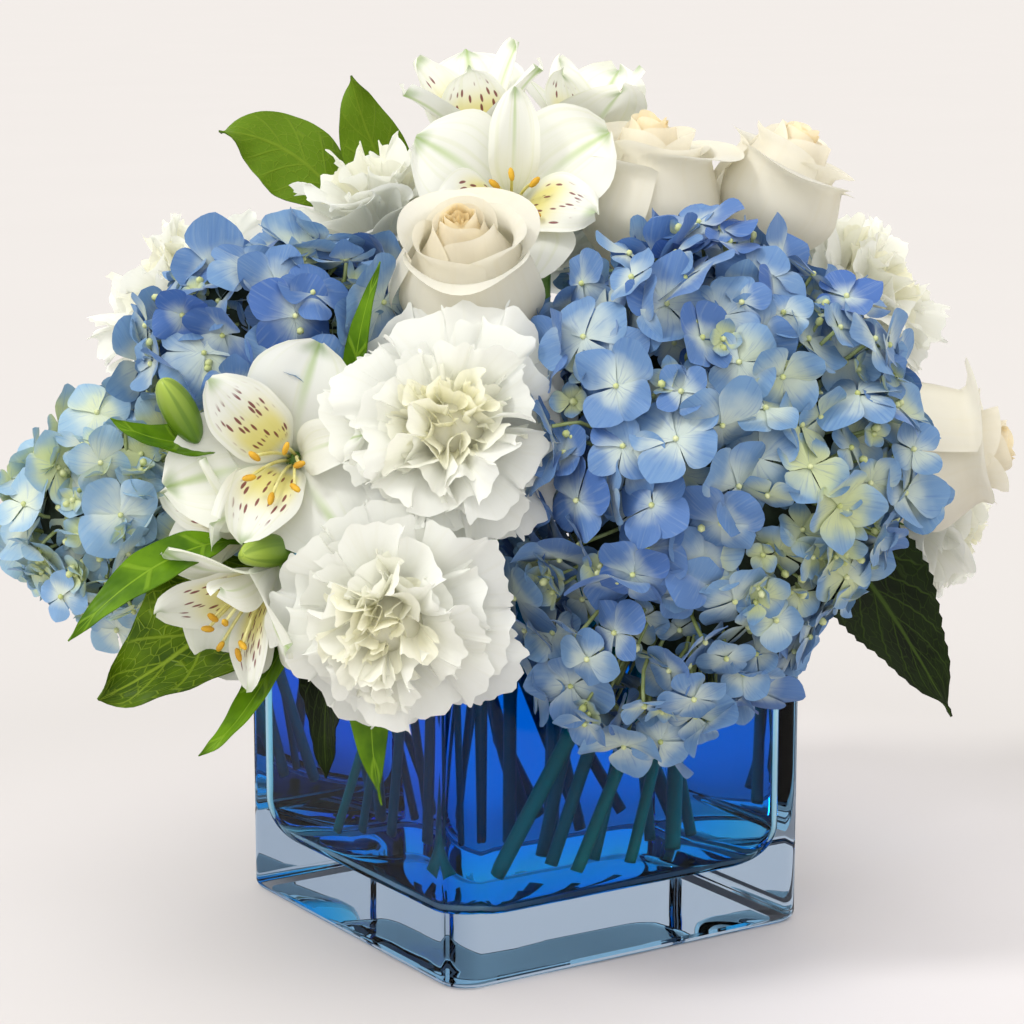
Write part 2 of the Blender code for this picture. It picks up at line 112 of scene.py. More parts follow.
class Soup:
    """Gathers the patches of one piece, each vertex with four values that its material reads."""

    def __init__(self):
        self.points, self.values, self.quads, self.tris = [], [], [], []
        self.quad_kinds, self.tri_kinds = [], []
        self.count = 0

    def _add(self, points, values):
        start = self.count
        points = np.asarray(points, float).reshape(-1, 3)
        values = np.asarray(values, float).reshape(-1, 4)
        if len(values) == 1:
            values = np.repeat(values, len(points), 0)
        self.points.append(points)
        self.values.append(values)
        self.count += len(points)
        return start

    def grid(self, points, values, kind=0, wrap=False):
        """A patch of rows by columns. wrap joins its last column to its first."""
        rows, columns = points.shape[:2]
        start = self._add(points, values)
        index = start + np.arange(rows * columns).reshape(rows, columns)
        if wrap:
            index = np.hstack([index, index[:, :1]])
        a, b, c, d = index[:-1, :-1], index[:-1, 1:], index[1:, 1:], index[1:, :-1]
        quads = np.stack([a, b, c, d], -1).reshape(-1, 4)
        self.quads.append(quads)
        self.quad_kinds.append(np.full(len(quads), kind))
        return index

    def fan(self, ring, centre, values, kind=0, flip=False):
        """Closes a ring of vertex numbers with triangles to one point."""
        middle = self._add([centre], [values])
        a, b = (ring[:-1], ring[1:]) if not flip else (ring[1:], ring[:-1])
        tris = np.stack([a, b, np.full(len(a), middle)], -1)
        self.tris.append(tris)
        self.tri_kinds.append(np.full(len(tris), kind))

    def tube(self, path, radii, chance, tint, kind=0, sides=10, caps=True):
        """A round tube along the path, with one radius or one for each point."""
        path = np.asarray(path, float)
        radii = np.broadcast_to(np.asarray(radii, float), (len(path),))
        way = np.gradient(path, axis=0)
        way /= np.maximum(np.linalg.norm(way, axis=1, keepdims=True), 1e-12)
        first, _ = frame_about(way[0], np.array([0.3, 0.9, 0.2]))
        turns = np.linspace(0, 2 * math.pi, sides, endpoint=False)
        rows = []
        for here, along, radius in zip(path, way, radii):
            first = unit(first - along * float(np.dot(first, along)))
            second = np.cross(along, first)
            rows.append(here + radius * (np.outer(np.cos(turns), first) + np.outer(np.sin(turns), second)))
        value = shades(turns / (2 * math.pi), np.linspace(0, 1, len(path))[:, None], chance, tint)
        index = self.grid(np.array(rows), value, kind, wrap=True)
        if caps:
            self.fan(index[0], path[0], value[0, 0], kind, flip=True)
            self.fan(index[-1], path[-1], value[-1, 0], kind)

    def blob(self, centre, axis, half, chance, tint, kind=0, segments=8, rings=6, ridge=0.0):
        """A closed egg about axis, with half sizes (along the axis, across it) and three soft ridges."""
        first, second = frame_about(axis)
        axis = unit(axis)
        down = np.linspace(0, math.pi, rings + 1)[1:-1]
        turns = np.linspace(0, 2 * math.pi, segments, endpoint=False)
        lobes = 1 + ridge * np.cos(3 * turns)
        across = half[1] * np.sin(down)[:, None] * lobes[None]
        points = (
            centre
            + (half[0] * np.cos(down))[:, None, None] * axis
            + (across * np.cos(turns))[..., None] * first
            + (across * np.sin(turns))[..., None] * second
        )
        value = shades(turns / (2 * math.pi), 1 - (down / math.pi)[:, None], chance, tint)
        index = self.grid(points[:, ::-1], value[:, ::-1], kind, wrap=True)
        top = value[0, 0].copy()
        top[1] = 1
        bottom = value[-1, 0].copy()
        bottom[1] = 0
        self.fan(index[0], centre + half[0] * axis, top, kind, flip=True)
        self.fan(index[-1], centre - half[0] * axis, bottom, kind)

    def object(self, name, materials, change=None):
        """The gathered patches as one smooth object. change may move their points."""
        points = np.vstack(self.points)
        if change is not None:
            points = change(points)
        faces = [face for group in self.quads + self.tris for face in group.tolist()]
        kinds = np.concatenate(self.quad_kinds + self.tri_kinds)
        mesh = bpy.data.meshes.new(name)
        mesh.from_pydata(points.tolist(), [], faces)
        mesh.polygons.foreach_set("material_index", kinds.astype(np.int32))
        shade = mesh.attributes.new("shade", "FLOAT_COLOR", "POINT")
        shade.data.foreach_set("color", np.vstack(self.values).astype(np.float32).ravel())
        mesh.shade_smooth()
        mesh.update()
        obj = bpy.data.objects.new(name, mesh)
        bpy.context.scene.collection.objects.link(obj)
        for material in materials:
            mesh.materials.append(material)
        return obj

    def piece(self, name, materials, node, change=None):
        """The gathered patches as a piece on the root body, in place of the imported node."""
        obj = self.object(name, materials, change)
        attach(obj, "root")
        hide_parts(node)
        return obj


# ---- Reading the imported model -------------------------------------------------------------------
WELD = 2e-5


def welded(node):
    """The node's corners, each once, and which are joined by an edge."""
    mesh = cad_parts[node].data
    raw = np.array([v.co for v in mesh.vertices], float)
    steps = np.round(raw / WELD).astype(np.int64)
    _, first, index = np.unique(steps, axis=0, return_index=True, return_inverse=True)
    index = index.reshape(-1)
    near = [set() for _ in first]
    for polygon in mesh.polygons:
        corners = [index[i] for i in polygon.vertices]
        for a, b in zip(corners, corners[1:] + corners[:1]):
            if a != b:
                near[a].add(b)
                near[b].add(a)
    return raw[first], near


def rows_from(points, near, seeds):
    """The corners in rows that go step by step away from the seeds."""
    rows, seen = [sorted(seeds)], set(seeds)
    while True:
        row = sorted({j for i in rows[-1] for j in near[i]} - seen)
        if not row:
            return [points[r] for r in rows]
        rows.append(row)
        seen |= set(row)


def stem_end(stem, middle, corners):
    """Where the stem meets what it carries: the mean of its corners that are nearest to that middle."""
    points, _ = welded(stem)
    return points[np.argsort(np.linalg.norm(points - middle, axis=1))[:corners]].mean(0)


def head_frame(head, stem, way=None):
    """The head's base on its stem, its facing direction, its centre, and its reach across and along that."""
    points, _ = welded(head)
    middle = points.mean(0)
    base = stem_end(stem, middle, 8)
    axis = unit(middle - base) if way is None else unit(way)
    base = middle - axis * np.linalg.norm(middle - base)
    offset = points - base
    along = offset @ axis
    across = np.linalg.norm(offset - along[:, None] * axis, axis=1)
    return base, axis, middle, across.max(), along.max()


VASE_TURN = math.radians(33)
TURN_X = np.array([math.cos(VASE_TURN), math.sin(VASE_TURN), 0])
TURN_Y = np.array([-math.sin(VASE_TURN), math.cos(VASE_TURN), 0])
VASE_HALF = float((welded("glass_vase")[0] @ TURN_X).max())
RIM = float(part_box("glass_vase")[1][2])
WATER_HALF = float((welded("tinted_water")[0] @ TURN_X).max())
WATER_BOTTOM, WATER_TOP = (float(corner[2]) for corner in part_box("tinted_water"))


def clear_of_vase(points, gap=0.0008):
    """Moves each point that is inside the vase's outline out to its side or up over its rim."""
    across, deep = points @ TURN_X, points @ TURN_Y
    reach = VASE_HALF + gap
    inside = (np.abs(across) < reach) & (np.abs(deep) < reach) & (points[:, 2] < RIM + gap)
    to_side_x, to_side_y = reach - np.abs(across), reach - np.abs(deep)
    to_top = RIM + gap - points[:, 2]
    moved = points.copy()
    out_x = inside & (to_side_x <= to_side_y) & (to_side_x <= to_top)
    out_y = inside & ~out_x & (to_side_y <= to_top)
    out_top = inside & ~out_x & ~out_y
    moved[out_x] += (np.sign(across) * to_side_x)[out_x, None] * TURN_X
    moved[out_y] += (np.sign(deep) * to_side_y)[out_y, None] * TURN_Y
    moved[out_top, 2] = RIM + gap
    return moved


# ---- Materials ----------------------------------------------------------------------------------
class Shader:
    """A material's node tree, with short ways to add its nodes."""

    def __init__(self, name, roughness=0.5, **constants):
        self.material = bpy.data.materials.new(name)
        self.material.use_nodes = True
        self.tree = self.material.node_tree
        self.shader = self.tree.nodes["Principled BSDF"]
        self.shader.inputs["Roughness"].default_value = roughness
        for socket, value in constants.items():
            self.shader.inputs[socket.replace("_", " ")].default_value = value
        self._shade = None

    def node(self, kind, **inputs):
        made = self.tree.nodes.new(kind)
        for name, value in inputs.items():
            key = int(name[1:]) if name[0] == "i" and name[1:].isdigit() else name.replace("_", " ")
            self.put(made.inputs[key], value)
        return made

    def put(self, socket, value):
        if isinstance(value, bpy.types.NodeSocket):
            self.tree.links.new(value, socket)
        else:
            socket.default_value = value

    def shade(self, channel):
        """One of the four values that a piece's mesh carries: 0 across, 1 along, 2 chance, 3 tint."""
        if self._shade is None:
            attribute = self.node("ShaderNodeAttribute")
            attribute.attribute_name = "shade"
            split = self.node("ShaderNodeSeparateColor", Color=attribute.outputs["Color"])
            self._shade = [split.outputs[i] for i in range(3)] + [attribute.outputs["Alpha"]]
        return self._shade[channel]

    def math(self, operation, a, b=0.0):
        made = self.node("ShaderNodeMath", i0=a, i1=b)
        made.operation = operation
        return made.outputs[0]

    def times(self, product, *factors):
        for factor in factors:
            product = self.math("MULTIPLY", product, factor)
        return product

    def span(self, value, low, high, out_low=0.0, out_high=1.0, kind="SMOOTHSTEP"):
        made = self.node("ShaderNodeMapRange")
        made.interpolation_type = kind
        for i, v in enumerate((value, low, high, out_low, out_high)):
            self.put(made.inputs[i], v)
        return made.outputs[0]

    def mix(self, factor, a, b, blend="MIX"):
        made = self.node("ShaderNodeMix")
        made.data_type = "RGBA"
        made.blend_type = blend
        self.put(made.inputs[0], factor)
        self.put(made.inputs[6], a)
        self.put(made.inputs[7], b)
        return made.outputs[2]

    def place(self):
        return self.node("ShaderNodeTexCoord").outputs["Object"]

    def noise(self, scale, detail):
        return self.node("ShaderNodeTexNoise", Vector=self.place(), Scale=scale, Detail=detail).outputs["Fac"]

    def on_petal(self, wide, long, apart):
        """A place on the petal: its across and along, scaled, and its chance, which sets petals apart."""
        scaled = [self.times(self.shade(i), scale) for i, scale in enumerate((wide, long, apart))]
        return self.node("ShaderNodeCombineXYZ", X=scaled[0], Y=scaled[1], Z=scaled[2]).outputs[0]

    def veins(self, wide, long):
        """A noise drawn out along the petal."""
        spot = self.on_petal(wide, long, 37.0)
        return self.node("ShaderNodeTexNoise", Vector=spot, Scale=1.0).outputs["Fac"]

    def colour(self, value):
        self.put(self.shader.inputs["Base Color"], value)

    def bump(self, height, strength, distance):
        made = self.node("ShaderNodeBump", Height=height, Strength=strength, Distance=distance)
        self.put(self.shader.inputs["Normal"], made.outputs[0])

    def let_through(self, share, colour):
        """A thin petal also passes some of the light that falls on its other side."""
        self.blend(share, self.shader, self.node("ShaderNodeBsdfTranslucent", Color=colour))

    def blend(self, share, one, other):
        """Makes the surface a mix of two shaders, and returns that mix."""
        both = self.node("ShaderNodeMixShader", i0=share, i1=one.outputs[0], i2=other.outputs[0])
        self.tree.links.new(both.outputs[0], self.tree.nodes["Material Output"].inputs["Surface"])
        return both


def srgb(r, g, b):
    def linear(c):
        c /= 255
        return c / 12.92 if c <= 0.04045 else ((c + 0.055) / 1.055) ** 2.4
    return (linear(r), linear(g), linear(b), 1.0)


def hydrangea_material(name, deep, mid, pale, green):
    """Blue at the sepal's edge, pale at its heart, with fine veins. Tint says how blue the floret is."""
    s = Shader(name, roughness=0.62, Sheen_Weight=0.12, Sheen_Roughness=0.4)
    out, tint, chance = s.shade(1), s.shade(3), s.shade(2)
    reach = s.math("ADD", out, s.times(s.math("SUBTRACT", tint, 0.5), 0.55))
    patch = s.noise(120.0, 2.0)
    reach = s.math("ADD", reach, s.span(patch, 0.3, 0.7, -0.12, 0.12))
    blue = s.mix(s.span(tint, 0.35, 0.95), mid, deep)
    blue = s.mix(s.span(chance, 0.0, 1.0, 0.0, 0.35), blue, mid)
    heart = s.mix(s.span(tint, 0.45, 0.05), pale, green)
    colour = s.mix(s.span(reach, 0.12, 0.78), heart, blue)
    veins = s.veins(9.0, 1.3)
    colour = s.mix(s.span(veins, 0.52, 0.70, 0.0, 0.20), colour, s.mix(0.5, colour, pale))
    colour = s.mix(s.span(veins, 0.45, 0.28, 0.0, 0.30), colour, deep)
    s.colour(colour)
    s.let_through(0.20, colour)
    s.bump(veins, 0.35, 0.0004)
    return s.material


def petal_material(name, edge, heart, shadow, roughness=0.6, veins=12.0):
    """A pale petal: heart colour where tint is 1 or at the petal's foot, with faint veins and folds darkened
    towards a painted shade colour.
    """
    s = Shader(name, roughness=roughness, Sheen_Weight=0.10, Sheen_Roughness=0.4)
    out, tint = s.shade(1), s.shade(3)
    warm = s.math("ADD", tint, s.span(out, 0.55, 0.0, 0.0, 0.5))
    colour = s.mix(s.span(warm, 0.0, 1.0), edge, heart)
    lines = s.veins(veins, 1.0)
    # Painted shade: the veins and soft noise patches are darkened towards the shadow colour.
    colour = s.mix(s.span(lines, 0.50, 0.30, 0.0, 0.35), colour, shadow)
    colour = s.mix(s.span(s.noise(70.0, 2.0), 0.45, 0.75, 0.0, 0.30), colour, shadow)
    s.colour(colour)
    s.let_through(0.42, colour)
    s.bump(lines, 0.25, 0.0004)
    return s.material


def alstroemeria_material():
    """White tepals with green tips and stripes. Tint 1 is an inner tepal, with yellow and maroon marks."""
    s = Shader("alstroemeria_petal", roughness=0.5, Sheen_Weight=0.08)
    across, out, _, tint = (s.shade(i) for i in range(4))
    white, cream = srgb(240, 241, 233), srgb(226, 229, 200)
    wide = s.math("ABSOLUTE", across)
    lines = s.veins(7.0, 0.8)
    colour = s.mix(s.span(lines, 0.5, 0.3, 0.0, 0.4), white, cream)
    colour = s.mix(s.span(out, 0.25, 0.0, 0.0, 0.8), colour, srgb(190, 206, 120))
    stripe = s.times(s.span(wide, 0.14, 0.0), s.span(out, 0.45, 0.9, 0.15, 0.6), s.span(tint, 0.6, 0.4))
    colour = s.mix(stripe, colour, srgb(168, 196, 104))
    tip = s.times(s.span(out, 0.90, 0.99), s.span(wide, 0.7, 0.2), 0.60)
    colour = s.mix(tip, colour, srgb(128, 164, 70))
    inner = s.span(tint, 0.75, 0.9)
    blotch = s.times(s.span(out, 0.22, 0.36), s.span(out, 0.84, 0.50), s.span(wide, 0.95, 0.45), inner, 0.75)
    colour = s.mix(blotch, colour, srgb(238, 226, 104))
    cells = s.node("ShaderNodeTexVoronoi", Vector=s.on_petal(7.0, 7.5, 19.0), Scale=1.0, Randomness=0.75)
    dash = s.span(cells.outputs["Distance"], 0.34, 0.22)
    zone = s.times(s.span(out, 0.30, 0.40), s.span(out, 0.88, 0.80), s.span(wide, 0.80, 0.68))
    colour = s.mix(s.times(dash, zone, inner, 0.92), colour, srgb(120, 36, 44))
    s.colour(colour)
    s.let_through(0.32, colour)
    s.bump(lines, 0.3, 0.0004)
    return s.material


def plain_material(name, low, high, roughness, bump=0.2, scale=260.0, painted_water_light=None):
    """A mottled green or cream, for stems, buds and hearts. A water colour, if given, is painted light: a
    brighter teal below the water line that stands in for the blue light in the dyed water.
    """
    s = Shader(name, roughness=roughness)
    grain = s.noise(scale, 4.0)
    colour = s.mix(s.span(grain, 0.3, 0.7), low, high)
    if painted_water_light is not None:
        # Painted light: below the water line the colour turns to the brighter water teal, for the blue light
        # that the dyed water lets through.
        height = s.node("ShaderNodeSeparateXYZ", Vector=s.place()).outputs["Z"]
        colour = s.mix(s.span(height, WATER_TOP + 0.004, WATER_TOP - 0.012), colour, painted_water_light)
    s.colour(colour)
    s.bump(grain, bump, 0.0003)
    return s.material


def bud_material():
    """A bud with lines along it, paler towards its tip."""
    s = Shader("alstroemeria_bud", roughness=0.42)
    out = s.shade(1)
    lines = s.veins(10.0, 0.8)
    colour = s.mix(s.span(out, 0.25, 0.95), srgb(80, 118, 16), srgb(150, 172, 62))
    colour = s.mix(s.span(lines, 0.48, 0.32, 0.0, 0.5), colour, srgb(60, 98, 10))
    s.colour(colour)
    s.bump(lines, 0.3, 0.0004)
    return s.material


def leaf_material(name, dark, light, vein, under, roughness, side_veins, slant, net=0.0):
    """A leaf with a midrib and side veins. Tint 1 is its underside."""
    s = Shader(name, roughness=roughness, Specular_IOR_Level=0.14)
    across, out, _, tint = (s.shade(i) for i in range(4))
    wide = s.math("ABSOLUTE", across)
    grain = s.noise(90.0, 3.0)
    colour = s.mix(s.span(grain, 0.3, 0.7), dark, light)
    midrib = s.span(wide, 0.065, 0.02)
    slanted = s.math("SUBTRACT", out, s.times(s.math("POWER", wide, 0.8), slant))
    wave = s.math("FRACT", s.times(slanted, side_veins))
    crease = s.math("ABSOLUTE", s.math("SUBTRACT", wave, 0.5))
    ribs = s.times(s.span(crease, 0.07, 0.02), s.span(wide, 0.98, 0.75), 0.7)
    lines = s.math("MAXIMUM", midrib, ribs)
    if net:
        cells = s.node("ShaderNodeTexVoronoi", Vector=s.on_petal(6.0, 14.0, 1.0), Scale=1.0)
        cells.feature = "DISTANCE_TO_EDGE"
        lines = s.math("MAXIMUM", lines, s.span(cells.outputs["Distance"], 0.06, 0.01, 0.0, net))
    top = s.mix(s.times(lines, 0.75), colour, vein)
    low = s.mix(s.times(lines, 0.4), under, vein)
    s.colour(s.mix(s.span(tint, 0.4, 0.6), top, low))
    s.bump(s.math("SUBTRACT", grain, s.times(lines, 2.0)), 0.35, 0.0006)
    return s.material


def clear_material(name, ior, tint, shine, lamps, absorbs, density):
    """Bends light at each surface, with a weak reflection on top, and casts a light shadow."""
    s = Shader(name)
    s.tree.nodes.remove(s.shader)
    bend = s.node("ShaderNodeBsdfRefraction", Color=tint, Roughness=0.0, IOR=ior)
    gloss = s.node("ShaderNodeBsdfGlossy", Color=(1, 1, 1, 1), Roughness=0.0)
    edge = s.node("ShaderNodeFresnel", IOR=ior).outputs[0]
    # Where light can't leave at all, the whole of it is reflected.
    total = s.math("GREATER_THAN", edge, 0.92)
    surface = s.blend(s.math("MAXIMUM", total, s.times(edge, shine)), bend, gloss)
    shadow = s.node("ShaderNodeLightPath").outputs["Is Shadow Ray"]
    s.blend(shadow, surface, s.node("ShaderNodeBsdfTransparent", Color=lamps))
    volume = s.node("ShaderNodeVolumeAbsorption", Color=absorbs, Density=density)
    s.tree.links.new(volume.outputs[0], s.tree.nodes["Material Output"].inputs["Volume"])
    return s.material


# ---- Hydrangeas ---------------------------------------------------------------------------------
# A square grid of 7 by 7 points pressed into a disc, for one sepal.
SQUARE_X, SQUARE_Y = np.meshgrid(np.linspace(-1, 1, 7), np.linspace(-1, 1, 7))
DISC_X = SQUARE_X * np.sqrt(1 - SQUARE_Y**2 / 2)
DISC_Y = SQUARE_Y * np.sqrt(1 - SQUARE_X**2 / 2)


def any_way(rng, reach=1.0):
    """A random offset, each of its three parts within reach."""
    return np.array([rng.uniform(-reach, reach) for _ in range(3)])


def sepal(length, width, cup, fold, wave, rng):
    """One rounded sepal that lies along +Y, in a floret's own frame, with its foot at the origin."""
    along = (DISC_Y + 1) / 2
    narrow = 0.30 + 0.70 * smooth(0.0, 0.62, along)
    x = DISC_X * width / 2 * narrow
    y = along * length * (1 + 0.05 * np.exp(-((DISC_X / 0.25) ** 2)) * smooth(0.8, 1.0, along))
    side = np.abs(DISC_X)
    z = cup * length * along**2 - fold * length * side**1.6 * along
    z = z + wave * length * np.sin(rng.uniform(2.5, 4.5) * DISC_X + rng.uniform(0, 6.3)) * along**2
    return np.stack([x, y, z], -1), along


def add_floret(soup, centre, normal, size, tint, rng, openness=1.0):
    """Four sepals in two crossed pairs about a small knob."""
    first, second = frame_about(normal, any_way(rng))
    normal = unit(normal)
    chance = rng.random()
    cup = rng.uniform(-0.28, 0.38) + (1 - openness) * 0.9
    for k in range(4):
        length = size / 2 * rng.uniform(0.86, 1.12)
        width = length * rng.uniform(0.98, 1.20)
        bend = cup + rng.uniform(-0.20, 0.20)
        points, along = sepal(length, width, bend, rng.uniform(-0.16, 0.24), 0.07, rng)
        turn = k * math.pi / 2 + rng.uniform(-0.16, 0.16)
        lift = 0.0006 if k % 2 else 0.0
        c, s = math.cos(turn), math.sin(turn)
        x, y = points[..., 0] * c - points[..., 1] * s, points[..., 0] * s + points[..., 1] * c
        z = points[..., 2] + lift
        world = centre + x[..., None] * first + y[..., None] * second + z[..., None] * normal
        own = min(1.0, max(0.0, tint + rng.uniform(-0.10, 0.10)))
        soup.grid(world, shades(DISC_X, along, chance, own), 0)
    soup.blob(centre + normal * 0.0008, normal, (0.0009, 0.0009), chance, tint, 1, 6, 4)


def build_hydrangea(name, count, scale, tint_of, outline, material, seed, floret=0.0265):
    """Two shells of florets on thin stalks, closed florets and buds between them, and a dark core of painted
    shade.
    """
    head = f"{name}_head"
    rng = random.Random(seed)
    low, high = (np.array(c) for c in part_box(head))
    centre, half = (low + high) / 2, (high - low) / 2
    inward = unit((stem_end(f"{name}_stem", centre, 8) - centre) / half)
    soup = Soup()
    golden = math.pi * (3 - math.sqrt(5))
    phases = [rng.uniform(0, 6.3) for _ in range(6)]

    def relief(d):
        lumps = sum(math.sin(wave * x + phase) for wave, x, phase in zip((5.1, 5.7, 5.3), d, phases))
        return (1 + 0.026 * lumps) * outline(d)

    def in_vase(spot, room):
        reach = VASE_HALF + room
        return abs(spot @ TURN_X) < reach and abs(spot @ TURN_Y) < reach and spot[2] < RIM + room

    def beside_vase(spot, room, most=0.022):
        """The spot moved clear of the vase by the shortest way, or None if that is far."""
        if not in_vase(spot, room):
            return spot
        gaps = [(VASE_HALF + room - abs(spot @ way), way * np.sign(spot @ way)) for way in (TURN_X, TURN_Y)]
        gaps.append((RIM + room - spot[2], UP))
        gap, way = min(gaps, key=lambda g: g[0])
        return spot + way * gap if gap < most else None

    def scatter(total, near, far, lean, sizes, paler, openness):
        """Florets spread evenly over the head, between two depths under its outline."""
        for i in range(total):
            z = 1 - 2 * (i + 0.5) / total
            ring = math.sqrt(1 - z * z)
            turn = golden * i + phases[3] + rng.uniform(-0.10, 0.10)
            d = np.array([ring * math.cos(turn), ring * math.sin(turn), z])
            d = unit(d + any_way(rng, 0.07))
            if np.dot(d, inward) > 0.82:
                continue
            normal = unit(d / half)
            spot = centre + half * d * scale * relief(d) - normal * rng.uniform(near, far)
            spot = beside_vase(spot, 0.004)
            if spot is None:
                continue
            facing = unit(normal + lean * any_way(rng))
            tint, shrink = tint_of(d, rng)
            size = floret * shrink * rng.uniform(*sizes)
            add_floret(soup, spot, facing, size, max(0.0, tint - paler * rng.random()), rng, openness)
            root = centre + half * d * 0.5
            path = [spot - facing * 0.0004, spot - facing * 0.006 + (root - spot) * 0.2, root]
            soup.tube(through(path, 6), 0.0006, 0.5, 0.5, 2, 5, caps=False)

    scatter(count, -0.003, 0.006, 0.74, (0.66, 1.14), 0.22, 1.0)
    scatter(int(count * 0.75), 0.007, 0.015, 0.70, (0.55, 0.85), 0.45, 0.85)
    for i in range(int(count * 0.9)):
        d = unit([rng.gauss(0, 1) for _ in range(3)])
        if np.dot(d, inward) > 0.75:
            continue
        spot = centre + half * d * scale * relief(d) * rng.uniform(0.90, 1.0)
        if in_vase(spot, 0.002):
            continue
        tint, _ = tint_of(d, rng)
        if rng.random() < 0.50:
            facing = unit(d + 0.6 * any_way(rng))
            add_floret(soup, spot, facing, rng.uniform(0.008, 0.0125), 0.0, rng, 0.45)
        for _ in range(rng.randint(0, 2)):
            near = spot + any_way(rng, 0.0035)
            soup.blob(near, d, (0.0014, 0.0012), rng.random(), tint, 1, 6, 4)
            soup.tube([near, (near + centre + half * d * 0.5) / 2], 0.0005, 0.5, 0.5, 2, 5, caps=False)
    # Painted shade: a dark olive shell inside the head stands for the shade deep between the florets.
    down = np.linspace(0.02, math.pi - 0.02, 18)[:, None]
    around = np.linspace(0, 2 * math.pi, 28, endpoint=False)[::-1]
    core = [np.sin(down) * np.cos(around), np.sin(down) * np.sin(around), np.cos(down) + 0 * around]
    soup.grid(centre + np.stack(core, -1) * half * 0.74, np.zeros((18, 28, 4)), 3, wrap=True)
    materials = [material, HEART, PEDICEL_GREEN, HYDRANGEA_SHADE_CORE]
    return soup.piece(f"{head}_florets", materials, head, clear_of_vase)


def tint_front_right(d, rng):
    pale = math.exp(-(((d[0] - 0.40) / 0.42) ** 2) - (((d[2] + 0.02) / 0.50) ** 2)) * (d[1] < 0.3)
    pale = max(pale, 0.55 * math.exp(-(((d[0] + 0.3) / 0.35) ** 2) - (((d[2] + 0.65) / 0.25) ** 2)))
    tint = 0.78 - 0.60 * pale - 0.10 * d[0] + rng.uniform(-0.26, 0.20)
    shrink = 1.0 - 0.34 * pale * rng.random()
    return min(max(tint, 0.02), 1.0), shrink


def outline_front_right(d):
    low = max(0.0, -d[2])
    return 1 - 0.19 * low - 0.28 * max(0.0, d[0]) * low + 0.46 * max(0.0, -d[0]) * low - 0.07 * max(0.0, d[0])


def tint_deep(d, rng):
    return min(1.0, 0.74 + rng.uniform(-0.40, 0.22)), 1.0


def outline_upper_left(d):
    return 1 - 0.24 * max(0.0, d[2]) + 0.14 * max(0.0, d[0]) - 0.12 * max(0.0, -d[0])


def tint_powder(d, rng):
    return max(0.02, 0.40 + rng.uniform(-0.32, 0.30)), 0.92


def tint_back(d, rng):
    return 0.66 + rng.uniform(-0.30, 0.25), 1.0


def plain_outline(d):
    return 1.0


# ---- Carnations ---------------------------------------------------------------------------------
# Each layer: how many petals, where a petal's middle line bends and ends (across, along the axis), its
# half angle in degrees, how much it waves, how far it may lean and how warm its colour is.
CARNATION_LAYERS = (
    (5, (0.50, 0.02), (1.06, -0.12), 44, 0.075, 0.14, 0.00),
    (5, (0.42, 0.12), (0.97, 0.05), 44, 0.110, 0.20, 0.02),
    (5, (0.30, 0.22), (0.82, 0.25), 46, 0.140, 0.30, 0.08),
    (6, (0.20, 0.28), (0.62, 0.42), 46, 0.150, 0.40, 0.20),
    (6, (0.12, 0.24), (0.44, 0.50), 50, 0.160, 0.50, 0.40),
    (6, (0.08, 0.22), (0.29, 0.52), 60, 0.160, 0.50, 0.62),
    (5, (0.04, 0.20), (0.14, 0.50), 80, 0.140, 0.50, 0.85),
)
# Each fold of a petal: its depth, how many half waves it may have, and how close to the edge it keeps.
CARNATION_FOLDS = ((0.85, 0.7, 1.5, 1.4), (0.45, 1.8, 2.8, 2.4), (0.16, 4.0, 6.0, 4.5))


